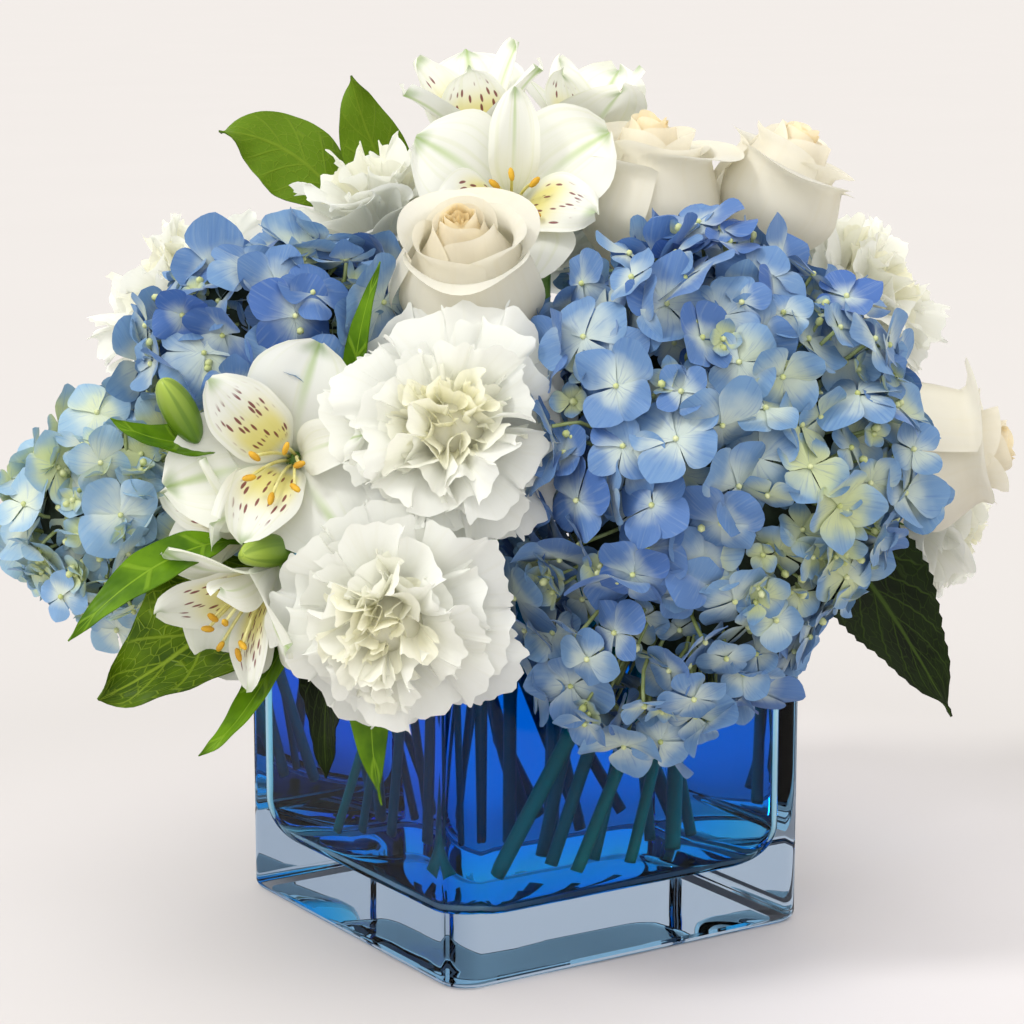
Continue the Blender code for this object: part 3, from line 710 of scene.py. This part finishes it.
def build_carnation(name, seed, grow):
    """Layers of ruffled petals with ragged edges, in a green calyx."""
    head = f"{name}_head"
    rng = random.Random(seed)
    base, axis, middle, reach, _ = head_frame(head, f"{name}_stem")
    radius = reach * grow
    centre = middle - axis * radius * 0.08
    first, second = frame_about(axis)
    soup = Soup()
    columns, rows = 57, 13
    u, v = np.meshgrid(np.linspace(-1, 1, columns), np.linspace(0, 1, rows))
    for count, bend, end, half_angle, wave, lean, warm in CARNATION_LAYERS:
        start_turn = rng.uniform(0, 6.3)
        for k in range(count):
            turn = start_turn + 2 * math.pi * k / count + rng.uniform(-0.26, 0.26)
            size = rng.uniform(0.88, 1.08)
            lift = rng.uniform(-0.09, 0.09)
            p0 = np.array([0.05, -0.50])
            p1 = np.array([bend[0], bend[1] + lift])
            p2 = np.array([end[0] * size, end[1] + lift * 1.5])
            # A ragged edge: small pointed teeth on a slower, uneven outline.
            spots = np.arange(columns) * rng.uniform(0.21, 0.26) + rng.random() + 0.25 * np.sin(u[0] * 7)
            tooth = np.abs((spots % 1.0) * 2 - 1) ** 0.8 - 0.5
            ragged = 0.042 * tooth + 0.02 * np.sin(u[0] * rng.uniform(14, 22) + rng.uniform(0, 6.3))
            slow = 0.05 * np.sin(rng.uniform(3, 6) * u[0] + rng.uniform(0, 6.3))
            stretch = v * (1 + ragged * smooth(0.80, 1.0, v) + slow * smooth(0.3, 1.0, v))
            stretch = stretch * (1 - 0.13 * u**2 * v)
            line = bezier2(p0, p1, p2, stretch)
            way = bezier2(p0, p1, p2, stretch + 0.02) - line
            way /= np.linalg.norm(way, axis=-1, keepdims=True)
            rise = np.zeros_like(u)
            for amount, low, high, edge in CARNATION_FOLDS:
                fold = np.sin(rng.uniform(low, high) * math.pi * u + rng.uniform(0, 6.3))
                rise = rise + amount * fold * v**edge
            rise = rise * wave
            rho = line[..., 0] - way[..., 1] * rise
            zeta = line[..., 1] + way[..., 0] * rise
            sway = np.sin(rng.uniform(2, 4) * math.pi * u + rng.uniform(0, 6.3))
            twist = (0.5 + wave * 3) * 0.13 * v**3 * sway
            phi = turn + math.radians(half_angle) * u * (0.50 + 0.50 * smooth(0.0, 0.7, v)) + twist
            local = radius * about_axis(axis, phi, rho, zeta)
            out = math.cos(turn) * first + math.sin(turn) * second
            foot = -axis * radius * 0.45
            local = turned(local - foot, out, rng.uniform(-lean, lean)) + foot
            soup.grid(centre + local, shades(u * 1.6, v, rng.random(), warm), 0)
    # A soft heart behind the inner petals.
    soup.blob(centre + axis * radius * 0.02, axis, (radius * 0.36, radius * 0.30), 0.5, 0.7, 0, 20, 12)
    # The green calyx that the petals stand in.
    path = [base - axis * 0.001, base + axis * radius * 0.10, base + axis * radius * 0.26]
    soup.tube(path, [0.0040, 0.0052, 0.0048], 0.5, 0.2, 1, 14)
    return soup.piece(f"{head}_petals", [CARNATION, STEM_GREEN], head, clear_of_vase)


# ---- Roses --------------------------------------------------------------------------------------
def build_rose(name, seed, openness, grow):
    """A rolled heart in petals that close over it, the outer ones with their rims turned out."""
    head = f"{name}_head"
    rng = random.Random(seed)
    base, axis, _, reach, height = head_frame(head, f"{name}_stem")
    radius = reach * grow
    tall = height * grow
    soup = Soup()
    # The heart: one strip rolled up into a cone.
    u, v = np.meshgrid(np.linspace(0, 1, 110), np.linspace(0, 1, 9))
    phi = 2 * math.pi * 3.1 * u + rng.uniform(0, 6)
    rho = radius * (0.02 + 0.20 * u) * (0.90 + 0.16 * v)
    zeta = tall * (0.30 + (0.64 + 0.04 * u + 0.012 * np.sin(5 * phi)) * v)
    soup.grid(base + about_axis(axis, phi, rho, zeta), shades(u * 6, v, 0.3, 0.95 - 0.30 * u), 0)
    petals = 14
    turn = rng.uniform(0, 6.3)
    for j in range(petals):
        share = j / (petals - 1)
        turn += math.radians(137.5) + rng.uniform(-0.12, 0.12)
        around = math.radians(98 - 18 * share)
        girth = radius * (0.42 + 0.56 * share)
        # An inner petal closes over the heart, and an outer one opens.
        mouth = 0.17 + 0.50 * share**1.6 * openness + rng.uniform(-0.03, 0.05) * share
        shut = min(1.0, mouth / (0.42 + 0.56 * share))
        drop = rng.uniform(-0.02, 0.02) + rng.uniform(-0.08, 0.04) * share**2
        high = tall * (1.0 - 0.02 * share - 0.09 * share**2.5 * openness + drop)
        reflex = max(0.0, (share - 0.50) / 0.50) * openness
        u, v = np.meshgrid(np.linspace(-1, 1, 27), np.linspace(0, 1, 22))
        edge = 1 - 0.15 * np.abs(u) ** 3.2 + 0.012 * np.sin(3 * u + j)
        vv = v * edge
        body = 0.20 + 0.80 * np.sin(np.clip(vv / 0.60, 0, 1) * math.pi / 2) ** 0.9
        rho = girth * body * (1 - (1 - shut) * smooth(0.46, 1.0, vv)) * (1 + 0.10 * u)
        lip = smooth(0.80, 1.0, vv) ** 1.2
        pinch = 0.75 + 0.6 * np.exp(-((u / 0.40) ** 2))
        rho = rho + radius * 0.36 * reflex * lip * pinch
        zeta = high * vv - radius * 0.16 * reflex * lip**2 * pinch
        rho = rho + 0.010 * radius * np.sin(3.5 * u + 2 * j) * v
        phi = turn + around * u * (0.75 + 0.25 * v)
        warm = np.clip(0.70 - 0.9 * share, 0, 1)
        soup.grid(base + about_axis(axis, phi, rho, zeta), shades(u * 2, v, rng.random(), warm), 0)
    # Five narrow green sepals folded down from the base.
    t, side = np.linspace(0, 1, 7)[:, None], np.linspace(-1, 1, 3)
    width = 0.0026 * np.sin(math.pi * np.clip(t * 0.9 + 0.1, 0, 1)) + 0.0003
    out = radius * (0.16 + 0.62 * t)
    zeta = tall * (0.02 + 0.10 * t - 0.28 * t**2) - 0.0006 * np.abs(side)
    for k in range(5):
        phi = 2 * math.pi * k / 5 + 0.4 + side * (width / out)
        soup.grid(base + about_axis(axis, phi, out, zeta), shades(side, t, 0.4, 0.0), 1)
    soup.blob(base + axis * tall * 0.03, axis, (0.0045, 0.0042), 0.5, 0, 1, 12, 8)
    return soup.piece(f"{head}_petals", [ROSE, STEM_GREEN], head)


# ---- Alstroemerias ------------------------------------------------------------------------------
def build_alstroemeria(name, stem, seed, way, roll, openness, grow):
    """Three broad outer tepals, three narrower inner ones with marks on two of them, and six stamens."""
    rng = random.Random(seed)
    base, axis, _, reach, _ = head_frame(name, stem, way)
    radius = reach * grow
    first, second = frame_about(axis)
    soup = Soup()
    shut = 1 - openness

    def tepal(turn, wide, ends, bends, tint, claw, peak):
        """One tepal at turn, with a narrow claw at its foot and its broadest place set by peak."""
        u, v = np.meshgrid(np.linspace(-1, 1, 15), np.linspace(0, 1, 24))
        p0, p1, p2 = np.array([0.04, 0.0]), np.array(bends), np.array(ends)
        line = bezier2(p0, p1, p2, v)
        way = bezier2(p0, p1, p2, v + 0.01) - line
        way /= np.linalg.norm(way, axis=-1, keepdims=True)
        share = np.clip((v - claw) / (1 - claw), 0, 1)
        blade = np.sin(math.pi * share**peak) ** 0.62
        spread = wide * (0.12 + 0.88 * blade) * (1 + 0.03 * np.sin(17 * v + turn))
        hollow = 0.10 * wide * np.abs(u) ** 1.8
        curl = 0.055 * np.sin(3.4 * u + turn * 2) * v**2 + 0.03 * np.sin(9 * v + 4 * u) * np.abs(u) ** 2
        rho = line[..., 0] - way[..., 1] * (hollow + curl)
        zeta = line[..., 1] + way[..., 0] * (hollow + curl)
        c, s = math.cos(turn), math.sin(turn)
        out, side = c * first + s * second, -s * first + c * second
        local = rho[..., None] * out + (u * spread)[..., None] * side + zeta[..., None] * axis
        soup.grid(base + radius * local, shades(u, v, rng.random(), tint), 0)

    for k in range(3):
        turn = roll + 2 * math.pi * k / 3 + rng.uniform(-0.07, 0.07)
        end = [1.12 - 0.55 * shut + rng.uniform(-0.04, 0.04), 0.82 + 0.85 * shut + rng.uniform(-0.06, 0.05)]
        tepal(turn, 0.58, end, (0.20 - 0.08 * shut, 0.80), 0.0, 0.08, 1.55)
    for k in range(3):
        turn = roll + math.pi / 3 + 2 * math.pi * k / 3 + rng.uniform(-0.07, 0.07)
        plain = k == 2
        end = (0.92 - 0.50 * shut, 1.10 + 0.60 * shut + rng.uniform(-0.05, 0.05))
        tepal(turn, 0.26 if plain else 0.36, end, (0.12, 0.86), 0.2 if plain else 1.0, 0.18, 1.15)
    for k in range(6):
        turn = roll + math.pi * k / 3 + rng.uniform(-0.2, 0.2)
        out = math.cos(turn) * first + math.sin(turn) * second
        t = np.linspace(0, 1, 8)[:, None]
        droop = -0.20 * radius * t**2 * UP
        path = base + radius * (0.05 + 0.20 * t**1.4) * out + radius * (0.22 + 0.80 * t) * axis + droop
        soup.tube(path, 0.00050, 0.5, 0.5, 1, 5)
        soup.blob(path[-1], unit(axis * 0.4 + out), (0.0021, 0.0010), 0.5, 0.5, 2, 6, 5)
    soup.blob(base + axis * 0.0025, axis, (0.0042, 0.0032), 0.5, 0, 3, 10, 7, 0.10)
    materials = [ALSTROEMERIA, FILAMENT, ANTHER, STEM_GREEN]
    return soup.piece(f"{name}_tepals", materials, name)


def build_bud(name):
    """A closed bud with three soft ridges."""
    points, _ = welded(name)
    middle = points.mean(0)
    spread = points - middle
    _, _, ways = np.linalg.svd(spread, full_matrices=False)
    axis = ways[0]
    if np.dot(middle - stem_end(name.rsplit("_", 2)[0] + "_stem", middle, 6), axis) < 0:
        axis = -axis
    length = np.abs(spread @ axis).max()
    wide = np.linalg.norm(spread - np.outer(spread @ axis, axis), axis=1).max()
    soup = Soup()
    soup.blob(middle, axis, (length * 1.06, wide * 0.84), 0.4, 0, 0, 24, 16, 0.12)
    return soup.piece(f"{name}_ribbed", [BUD], name)


# ---- Leaves -------------------------------------------------------------------------------------
def leaf_rows(node):
    """The midrib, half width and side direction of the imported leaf, row by row from the vase's mouth."""
    points, near = welded(node)
    mouth = np.array([0.0, 0.0, RIM])
    seeds = np.argsort(np.linalg.norm(points - mouth, axis=1))[:6].tolist()
    rows = rows_from(points, near, seeds)
    middles = np.array([row.mean(0) for row in rows])
    ways = np.gradient(middles, axis=0)
    halves, sides = [], []
    last = None
    for row, middle, way in zip(rows, middles, ways):
        spread, way = row - middle, unit(way)
        _, _, directions = np.linalg.svd(spread - np.outer(spread @ way, way), full_matrices=False)
        side = directions[0]
        if last is not None and np.dot(side, last) < 0:
            side = -side
        last = side
        sides.append(side)
        halves.append(np.abs(spread @ side).max())
    return middles, np.array(halves), np.array(sides)


def build_leaf(name, material, shape, serration=0.0, teeth=0, ripple=0.0, scale=1.0):
    """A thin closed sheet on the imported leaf's midrib. shape is its outline, as a share of its width."""
    node = f"leaf_{name}"
    middles, halves, sides = leaf_rows(node)
    rows, columns = 61, 17
    rib = through(middles, rows)
    side = through(sides, rows)
    half = np.interp(np.linspace(0, 1, rows), np.linspace(0, 1, len(halves)), halves)
    way = np.gradient(rib, axis=0)
    way /= np.linalg.norm(way, axis=1, keepdims=True)
    side -= (side * way).sum(1, keepdims=True) * way
    side /= np.linalg.norm(side, axis=1, keepdims=True)
    face = np.cross(side, way)
    # The upper face is the one that looks up or out.
    looks = face[rows // 2 :].mean(0)
    if looks @ unit(unit(rib[rows // 2] * [1, 1, 0]) * 0.6 + UP * 0.8) < 0:
        face, side = -face, -side
    stalk = np.argmax(half > 0.0022) / rows if (half > 0.0022).any() else 0.2
    share = np.clip((np.linspace(0, 1, rows) - stalk) / (1 - stalk), 0, 1)
    peak = half.max() * scale
    blade = peak * np.clip(shape(share), 0, None)
    half = np.where(share > 0, np.maximum(blade, 0.0008 * (1 - share)), 0.0009)
    u = np.linspace(-1, 1, columns)
    if teeth:
        saw = (share * teeth) % 1.0
        half = half * (1 + serration * (saw - 0.5) * smooth(0.02, 0.10, share) * smooth(1.0, 0.9, share))
    rng = random.Random(name)
    phase = rng.uniform(0, 6)
    wide, out = np.abs(u)[None], share[:, None]
    fold = 0.20 * half[:, None] * wide**1.5
    ruffle = ripple * half[:, None] * np.sin(out * 17 + phase + 1.2 * np.sign(u)[None]) * wide**2
    quilt = np.sin((out - 0.35 * wide) * math.pi * 2 * 7) * 0.012 * peak * (wide > 0.05)
    top = rib[:, None] + side[:, None] * (u[None, :, None] * half[:, None, None])
    top = top + face[:, None] * (fold + ruffle + quilt)[..., None]
    thick = 0.00045
    soup = Soup()
    value = shades(u[None], out, phase / 6, 0.0)
    soup.grid(top[:, ::-1], value[:, ::-1], 0)
    soup.grid(top - face[:, None] * thick, shades(u[None], out, phase / 6, 1.0), 0)
    rim = np.concatenate([top[:, 0], top[::-1, -1]])
    rim_face = np.concatenate([face, face[::-1]])
    edge = np.stack([rim, rim - rim_face * thick])
    rim_value = np.concatenate([value[:, 0], value[::-1, -1]])
    soup.grid(edge, np.stack([rim_value, rim_value]), 0)
    return soup.piece(f"{node}_blade", [material], node, clear_of_vase)


def outline_of(peak, blunt):
    """A leaf's outline: broadest nearer the stalk where peak is small, rounder where blunt is small."""
    return lambda t: np.sin(math.pi * np.clip(t, 0, 1) ** peak) ** blunt


OVAL, OVATE, LANCE = outline_of(0.72, 0.80), outline_of(0.62, 0.85), outline_of(0.80, 0.95)


# ---- Stems --------------------------------------------------------------------------------------
def build_stem(node):
    """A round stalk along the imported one, slimmer in the water. All but the hydrangeas' have two joints."""
    points, near = welded(node)
    seeds = np.argsort(points[:, 2])[:8].tolist()
    rows = [row for row in rows_from(points, near, seeds) if len(row) >= 6]
    middles = np.array([row.mean(0) for row in rows])
    radii = np.array([np.linalg.norm(row - m, axis=1).mean() for row, m in zip(rows, middles)])
    # The straight part in the water gets points of its own, so that the curve stays straight there.
    first = [middles[0] + (middles[1] - middles[0]) * t for t in (0, 0.25, 0.5, 0.75)]
    count = 56
    line = through(np.vstack([first, middles[1:]]), count)
    size = through(np.concatenate([[radii[0]] * 4, radii[1:]])[:, None], count)[:, 0]
    rng = random.Random(node)
    joints = [rng.uniform(0.18, 0.30), rng.uniform(0.45, 0.6)]
    share = np.linspace(0, 1, count)
    woody = "hydrangea" in node
    if not woody:
        for joint in joints:
            size = size * (1 + 0.22 * np.exp(-(((share - joint) / 0.018) ** 2)))
    thin = 0.72 if woody else 0.82
    size = size * (thin + (1 - thin) * smooth(0.4, 0.7, share))
    soup = Soup()
    soup.tube(line, size, rng.random(), 0.0, 0, 16)
    return soup.piece(f"{node}_stalk", [STEM_GREEN], node)


# ---- Vase and water -----------------------------------------------------------------------------
def rounded_square(half, corner, height):
    """A square of the vase's turn at a height, with each corner a quarter circle of 14 steps."""
    turns = np.linspace(0, math.pi / 2, 15)
    rows = []
    for quarter, signs in enumerate(((1, 1), (-1, 1), (-1, -1), (1, -1))):
        angle = turns + quarter * math.pi / 2
        middle = np.array(signs) * (half - corner)
        rows.append(middle + corner * np.stack([np.cos(angle), np.sin(angle)], -1))
    flat = np.vstack(rows)
    # Extra points along each side keep its shading flat.
    out = []
    for i, point in enumerate(flat):
        out.append(point)
        after = flat[(i + 1) % len(flat)]
        if np.linalg.norm(after - point) > corner:
            out += [point + (after - point) * t for t in (0.02, 0.5, 0.98)]
    flat = np.array(out)
    return flat[:, :1] * TURN_X + flat[:, 1:] * TURN_Y + UP * height


def arc(centre, radius, start, end, steps):
    """Points on a part of a circle, from one angle in degrees to another."""
    turns = np.radians(np.linspace(start, end, steps))
    return [(centre[0] + radius * math.cos(t), centre[1] + radius * math.sin(t)) for t in turns]


def square_vessel(name, levels, corner_of, material, node):
    """A closed skin through levels of (half width, height), with flat shading on its flat faces."""
    grid = np.array([rounded_square(half, corner_of(half), height) for half, height in levels])
    soup = Soup()
    index = soup.grid(grid, np.zeros((*grid.shape[:2], 4)), 0, wrap=True)
    soup.fan(index[0], UP * levels[0][1], (0, 0, 0, 0), 0, flip=True)
    soup.fan(index[-1], UP * levels[-1][1], (0, 0, 0, 0), 0)
    vessel = soup.piece(name, [material], node)
    weigh = vessel.modifiers.new("Weighted", "WEIGHTED_NORMAL")
    weigh.mode = "FACE_AREA"
    weigh.weight = 90


# The rounded bottom edge inside the vase, and the corners' radius seen from above, inside and outside.
INNER_EDGE, INNER_CORNER, OUTER_CORNER = 0.0125, 0.0088, 0.0085
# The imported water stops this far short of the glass. The looks' water overlaps the glass by a hair.
WATER_GAP, WATER_OVERLAP = 0.0004, 0.00015


def build_vase():
    """Outer wall, rim and cavity in one closed skin, with round edges."""
    wall_half = WATER_HALF + WATER_GAP
    floor = WATER_BOTTOM - WATER_GAP
    foot, lip, sunk = 0.0025, (VASE_HALF - wall_half) / 2, 0.0008
    levels = [(0.002, sunk), (VASE_HALF - 0.010, sunk), (VASE_HALF - 0.0075, 0.0), (VASE_HALF - 0.0035, 0.0)]
    levels += arc((VASE_HALF - foot, foot), foot, -90, 0, 8)
    levels += [(VASE_HALF, foot + 0.002), (VASE_HALF, RIM / 2), (VASE_HALF, RIM - lip - 0.002)]
    levels += arc((VASE_HALF - lip, RIM - lip), lip, 0, 180, 15)
    levels += [(wall_half, RIM - lip - 0.003), (wall_half, floor + INNER_EDGE + 0.003)]
    levels += arc((wall_half - INNER_EDGE, floor + INNER_EDGE), INNER_EDGE, 0, -90, 12)
    levels += [(wall_half - INNER_EDGE - 0.003, floor), (wall_half * 0.4, floor + 0.0006)]
    levels += [(0.002, floor + 0.0008)]

    def corner_of(half):
        return OUTER_CORNER if half >= VASE_HALF - 0.001 else min(INNER_CORNER, half * 0.5)

    square_vessel("glass_vase_clear", levels, corner_of, GLASS, "glass_vase")


def build_water():
    """The water fills the vase's cavity, with no air between them, and climbs a little at its edge."""
    grow = WATER_GAP + WATER_OVERLAP
    half, bottom = WATER_HALF + grow, WATER_BOTTOM - grow
    levels = [(0.002, bottom + 0.0008), (half * 0.4, bottom + 0.0006), (half - INNER_EDGE - 0.003, bottom)]
    levels += arc((half - INNER_EDGE, bottom + INNER_EDGE), INNER_EDGE, -90, 0, 12)
    levels += [(half, bottom + INNER_EDGE + 0.003), (half, WATER_TOP - 0.003), (half, WATER_TOP + 0.0012)]
    levels += [(half - 0.0012, WATER_TOP + 0.0003), (half - 0.004, WATER_TOP), (half * 0.5, WATER_TOP)]
    levels += [(0.002, WATER_TOP)]

    def corner_of(half):
        return min(INNER_CORNER, half * 0.5)

    square_vessel("tinted_water_blue", levels, corner_of, WATER, "tinted_water")


# ---- Stage --------------------------------------------------------------------------------------
def floor_material():
    """Near white paper, painted lighter close by the vase and towards its right: painted light that lifts the
    shade and the key's shadow there.
    """
    s = Shader("floor", roughness=1.0, Specular_IOR_Level=0.0)
    away = s.node("ShaderNodeVectorMath", i0=s.place())
    away.operation = "LENGTH"
    near = s.span(away.outputs["Value"], 0.12, 0.30, 1.0, 0.0)
    right = s.span(s.node("ShaderNodeSeparateXYZ", Vector=s.place()).outputs["X"], -0.05, 0.12)
    # Painted light: the floor near the vase is lighter, most on the right where the key's shadow falls.
    close = s.mix(right, srgb(208, 204, 203), srgb(220, 216, 217))
    s.colour(s.mix(near, s.mix(s.noise(3.0, 2.0), srgb(192, 189, 187), srgb(194, 191, 189)), close))
    return s.material


def build_stage():
    """A round floor out to the horizon, a plain bright world and three soft suns."""
    turns = np.linspace(0, 2 * math.pi, 96, endpoint=False)
    soup = Soup()
    grid = np.array([[(r * math.cos(t), r * math.sin(t), 0.0) for t in turns] for r in (40, 10, 3, 1.2, 0.6)])
    index = soup.grid(grid, np.zeros((*grid.shape[:2], 4)), 0, wrap=True)
    soup.fan(index[-1], np.zeros(3), (0, 0, 0, 0), 0)
    soup.object("floor", [floor_material()])
    world = bpy.data.worlds.new("studio")
    bpy.context.scene.world = world
    world.use_nodes = True
    back = world.node_tree.nodes["Background"]
    back.inputs["Color"].default_value = (1.0, 0.975, 0.95, 1)
    back.inputs["Strength"].default_value = 1.08

    def sun(name, way, strength, spread, colour, in_glass):
        """A lamp that shines along way. in_glass lets it show in the glass."""
        light = bpy.data.lights.new(name, "SUN")
        light.energy = strength
        light.angle = math.radians(spread)
        light.color = colour
        lamp = bpy.data.objects.new(name, light)
        lamp.rotation_euler = Vector(way).to_track_quat("-Z", "Y").to_euler()
        lamp.visible_transmission = in_glass
        lamp.visible_glossy = in_glass
        bpy.context.scene.collection.objects.link(lamp)

    sun("key", (0.70, 0.36, -0.80), 1.15, 12, (1.0, 0.99, 0.97), True)
    sun("front", (0.10, 0.90, -0.55), 1.25, 90, (1.0, 1.0, 1.0), False)
    sun("behind", (0.15, -0.85, -0.55), 0.8, 40, (1.0, 1.0, 1.0), False)


def build_camera():
    """A long lens from a little above, at the distance that frames the bouquet."""
    target = Vector((-0.0027, 0.0, 0.1245))
    rise = math.radians(10.5)
    distance = 0.9214
    camera = bpy.data.cameras.new("camera")
    camera.lens = 105.3
    camera.sensor_width = 36
    obj = bpy.data.objects.new("camera", camera)
    obj.location = target + distance * Vector((0, -math.cos(rise), math.sin(rise)))
    obj.rotation_euler = (target - obj.location).to_track_quat("-Z", "Y").to_euler()
    bpy.context.scene.collection.objects.link(obj)
    bpy.context.scene.camera = obj


# ---- Build --------------------------------------------------------------------------------------
build_camera()
build_stage()

GLASS = clear_material(
    "clear_glass", 1.5, (0.97, 0.985, 0.99, 1), 0.24, (0.92, 0.96, 1.0, 1), (0.42, 0.53, 0.66, 1), 13.0
)
WATER = clear_material(
    "blue_water", 1.33, (0.74, 0.92, 1.0, 1), 0.0, (0.75, 0.92, 1.0, 1), (0.0, 0.80, 0.984, 1), 68.0
)
HYDRANGEA = hydrangea_material(
    "hydrangea_petal", srgb(60, 100, 170), srgb(110, 148, 188), srgb(194, 208, 202), srgb(196, 206, 156)
)
POWDER = hydrangea_material(
    "hydrangea_petal_powder",
    srgb(98, 142, 200), srgb(150, 184, 208), srgb(216, 226, 214), srgb(206, 216, 160),
)
HEART = plain_material("floret_heart", srgb(180, 190, 118), srgb(208, 214, 166), 0.5)
PEDICEL_GREEN = plain_material("pedicel", srgb(120, 134, 72), srgb(150, 164, 112), 0.5)
# Painted shade: the dark olive of the hydrangeas' inner shell.
HYDRANGEA_SHADE_CORE = plain_material("hydrangea_painted_shade_core", srgb(30, 38, 22), srgb(48, 60, 44), 0.8)
# Each petal's third colour is the painted shade of its veins and soft patches.
CARNATION = petal_material("carnation_petal", srgb(244, 245, 240), srgb(252, 250, 227), srgb(238, 238, 227))
ROSE = petal_material("rose_petal", srgb(241, 238, 225), srgb(247, 230, 184), srgb(238, 233, 214), 0.5, 5.0)
ALSTROEMERIA = alstroemeria_material()
FILAMENT = plain_material("filament", srgb(226, 222, 160), srgb(206, 196, 110), 0.5)
ANTHER = plain_material("anther", srgb(190, 140, 20), srgb(214, 168, 40), 0.6)
BUD = bud_material()
# Below the water line the stem is painted a brighter teal: painted light.
STEM_GREEN = plain_material(
    "stem", srgb(78, 120, 50), srgb(120, 160, 76), 0.45, 0.15, 200.0, painted_water_light=srgb(36, 140, 112)
)
SALAL = leaf_material(
    "leaf_salal",
    srgb(44, 68, 0), srgb(76, 102, 0), srgb(122, 144, 36), srgb(88, 118, 16), 0.45, 5.0, 0.30, 0.6,
)
DARK_LEAF = leaf_material(
    "leaf_dark", srgb(8, 18, 0), srgb(20, 34, 2), srgb(58, 78, 20), srgb(46, 68, 20), 0.5, 8.0, 0.32, 0.3
)
BLADE_LEAF = leaf_material(
    "leaf_blade", srgb(56, 92, 4), srgb(92, 130, 12), srgb(120, 154, 36), srgb(92, 130, 28), 0.40, 3.0, 0.1
)

build_vase()
build_water()

build_hydrangea(
    "hydrangea_front_right", 290, 1.05, tint_front_right, outline_front_right, HYDRANGEA, 11, 0.0242
)
build_hydrangea("hydrangea_upper_left", 104, 1.06, tint_deep, outline_upper_left, HYDRANGEA, 12)
build_hydrangea("hydrangea_far_left", 100, 0.94, tint_powder, plain_outline, POWDER, 13, 0.0235)
build_hydrangea("hydrangea_back_left", 120, 1.05, tint_back, plain_outline, HYDRANGEA, 14)
build_hydrangea("hydrangea_back_right", 120, 1.05, tint_deep, plain_outline, HYDRANGEA, 15)

heads = [node for node in sorted(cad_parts) if node.startswith("carnation") and node.endswith("_head")]
for number, head in enumerate(heads):
    carnation = head.removesuffix("_head")
    build_carnation(carnation, 40 + number, 1.05 if carnation == "carnation_front_low" else 1.13)

build_rose("rose_front", 61, 1.0, 1.10)
build_rose("rose_top", 62, 1.1, 1.12)
build_rose("rose_top_right", 63, 1.3, 1.12)
build_rose("rose_right", 64, 1.0, 1.18)

for flower, stem, seed, way, roll, openness, grow in (
    ("left_open", "left", 71, (-0.16, -0.95, 0.26), -15, 1.0, 1.12),
    ("left_low", "left", 72, (-0.60, -0.62, -0.50), 20, 0.72, 1.32),
    ("left_side", "left", 73, (-0.88, -0.42, 0.20), 30, 0.55, 1.5),
    ("top_front", "top", 74, (0.05, -0.88, 0.47), 60, 0.92, 1.18),
    ("top_tall", "top", 75, (-0.16, -0.25, 0.95), 35, 0.42, 1.26),
    ("top_back", "top", 76, (0.10, -0.10, 0.98), 45, 0.40, 1.30),
):
    flower, stem = f"alstroemeria_{flower}_flower", f"alstroemeria_{stem}_stem"
    build_alstroemeria(flower, stem, seed, way, math.radians(roll), openness, grow)
build_bud("alstroemeria_left_upper_bud")
build_bud("alstroemeria_left_lower_bud")

build_leaf("salal_top_left", SALAL, OVAL, ripple=0.04)
build_leaf("salal_top", SALAL, OVAL, ripple=0.03)
build_leaf("salal_low_left", SALAL, OVAL, ripple=0.05, scale=1.22)
build_leaf("salal_back_left", SALAL, OVAL, ripple=0.05)
build_leaf("salal_back_right", SALAL, OVAL, ripple=0.05)
build_leaf("hydrangea_right", DARK_LEAF, OVATE, serration=0.12, teeth=20, ripple=0.05)
build_leaf("dark_over_rim", DARK_LEAF, OVATE, serration=0.12, teeth=14, ripple=0.06, scale=1.25)
build_leaf("blade_over_rim", BLADE_LEAF, LANCE, scale=1.3)
build_leaf("pointed_low_left", BLADE_LEAF, LANCE)
build_leaf("grass_blade", BLADE_LEAF, LANCE)
build_leaf("alstroemeria_upper", BLADE_LEAF, LANCE, ripple=0.08)
build_leaf("alstroemeria_lower", BLADE_LEAF, LANCE, ripple=0.08)

for node in sorted(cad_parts):
    if not node.endswith("_stem"):
        continue
    if node.startswith("alstroemeria"):
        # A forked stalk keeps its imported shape.
        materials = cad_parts[node].data.materials
        materials.clear()
        materials.append(STEM_GREEN)
    else:
        build_stem(node)

bpy.context.scene.view_settings.view_transform = "Standard"
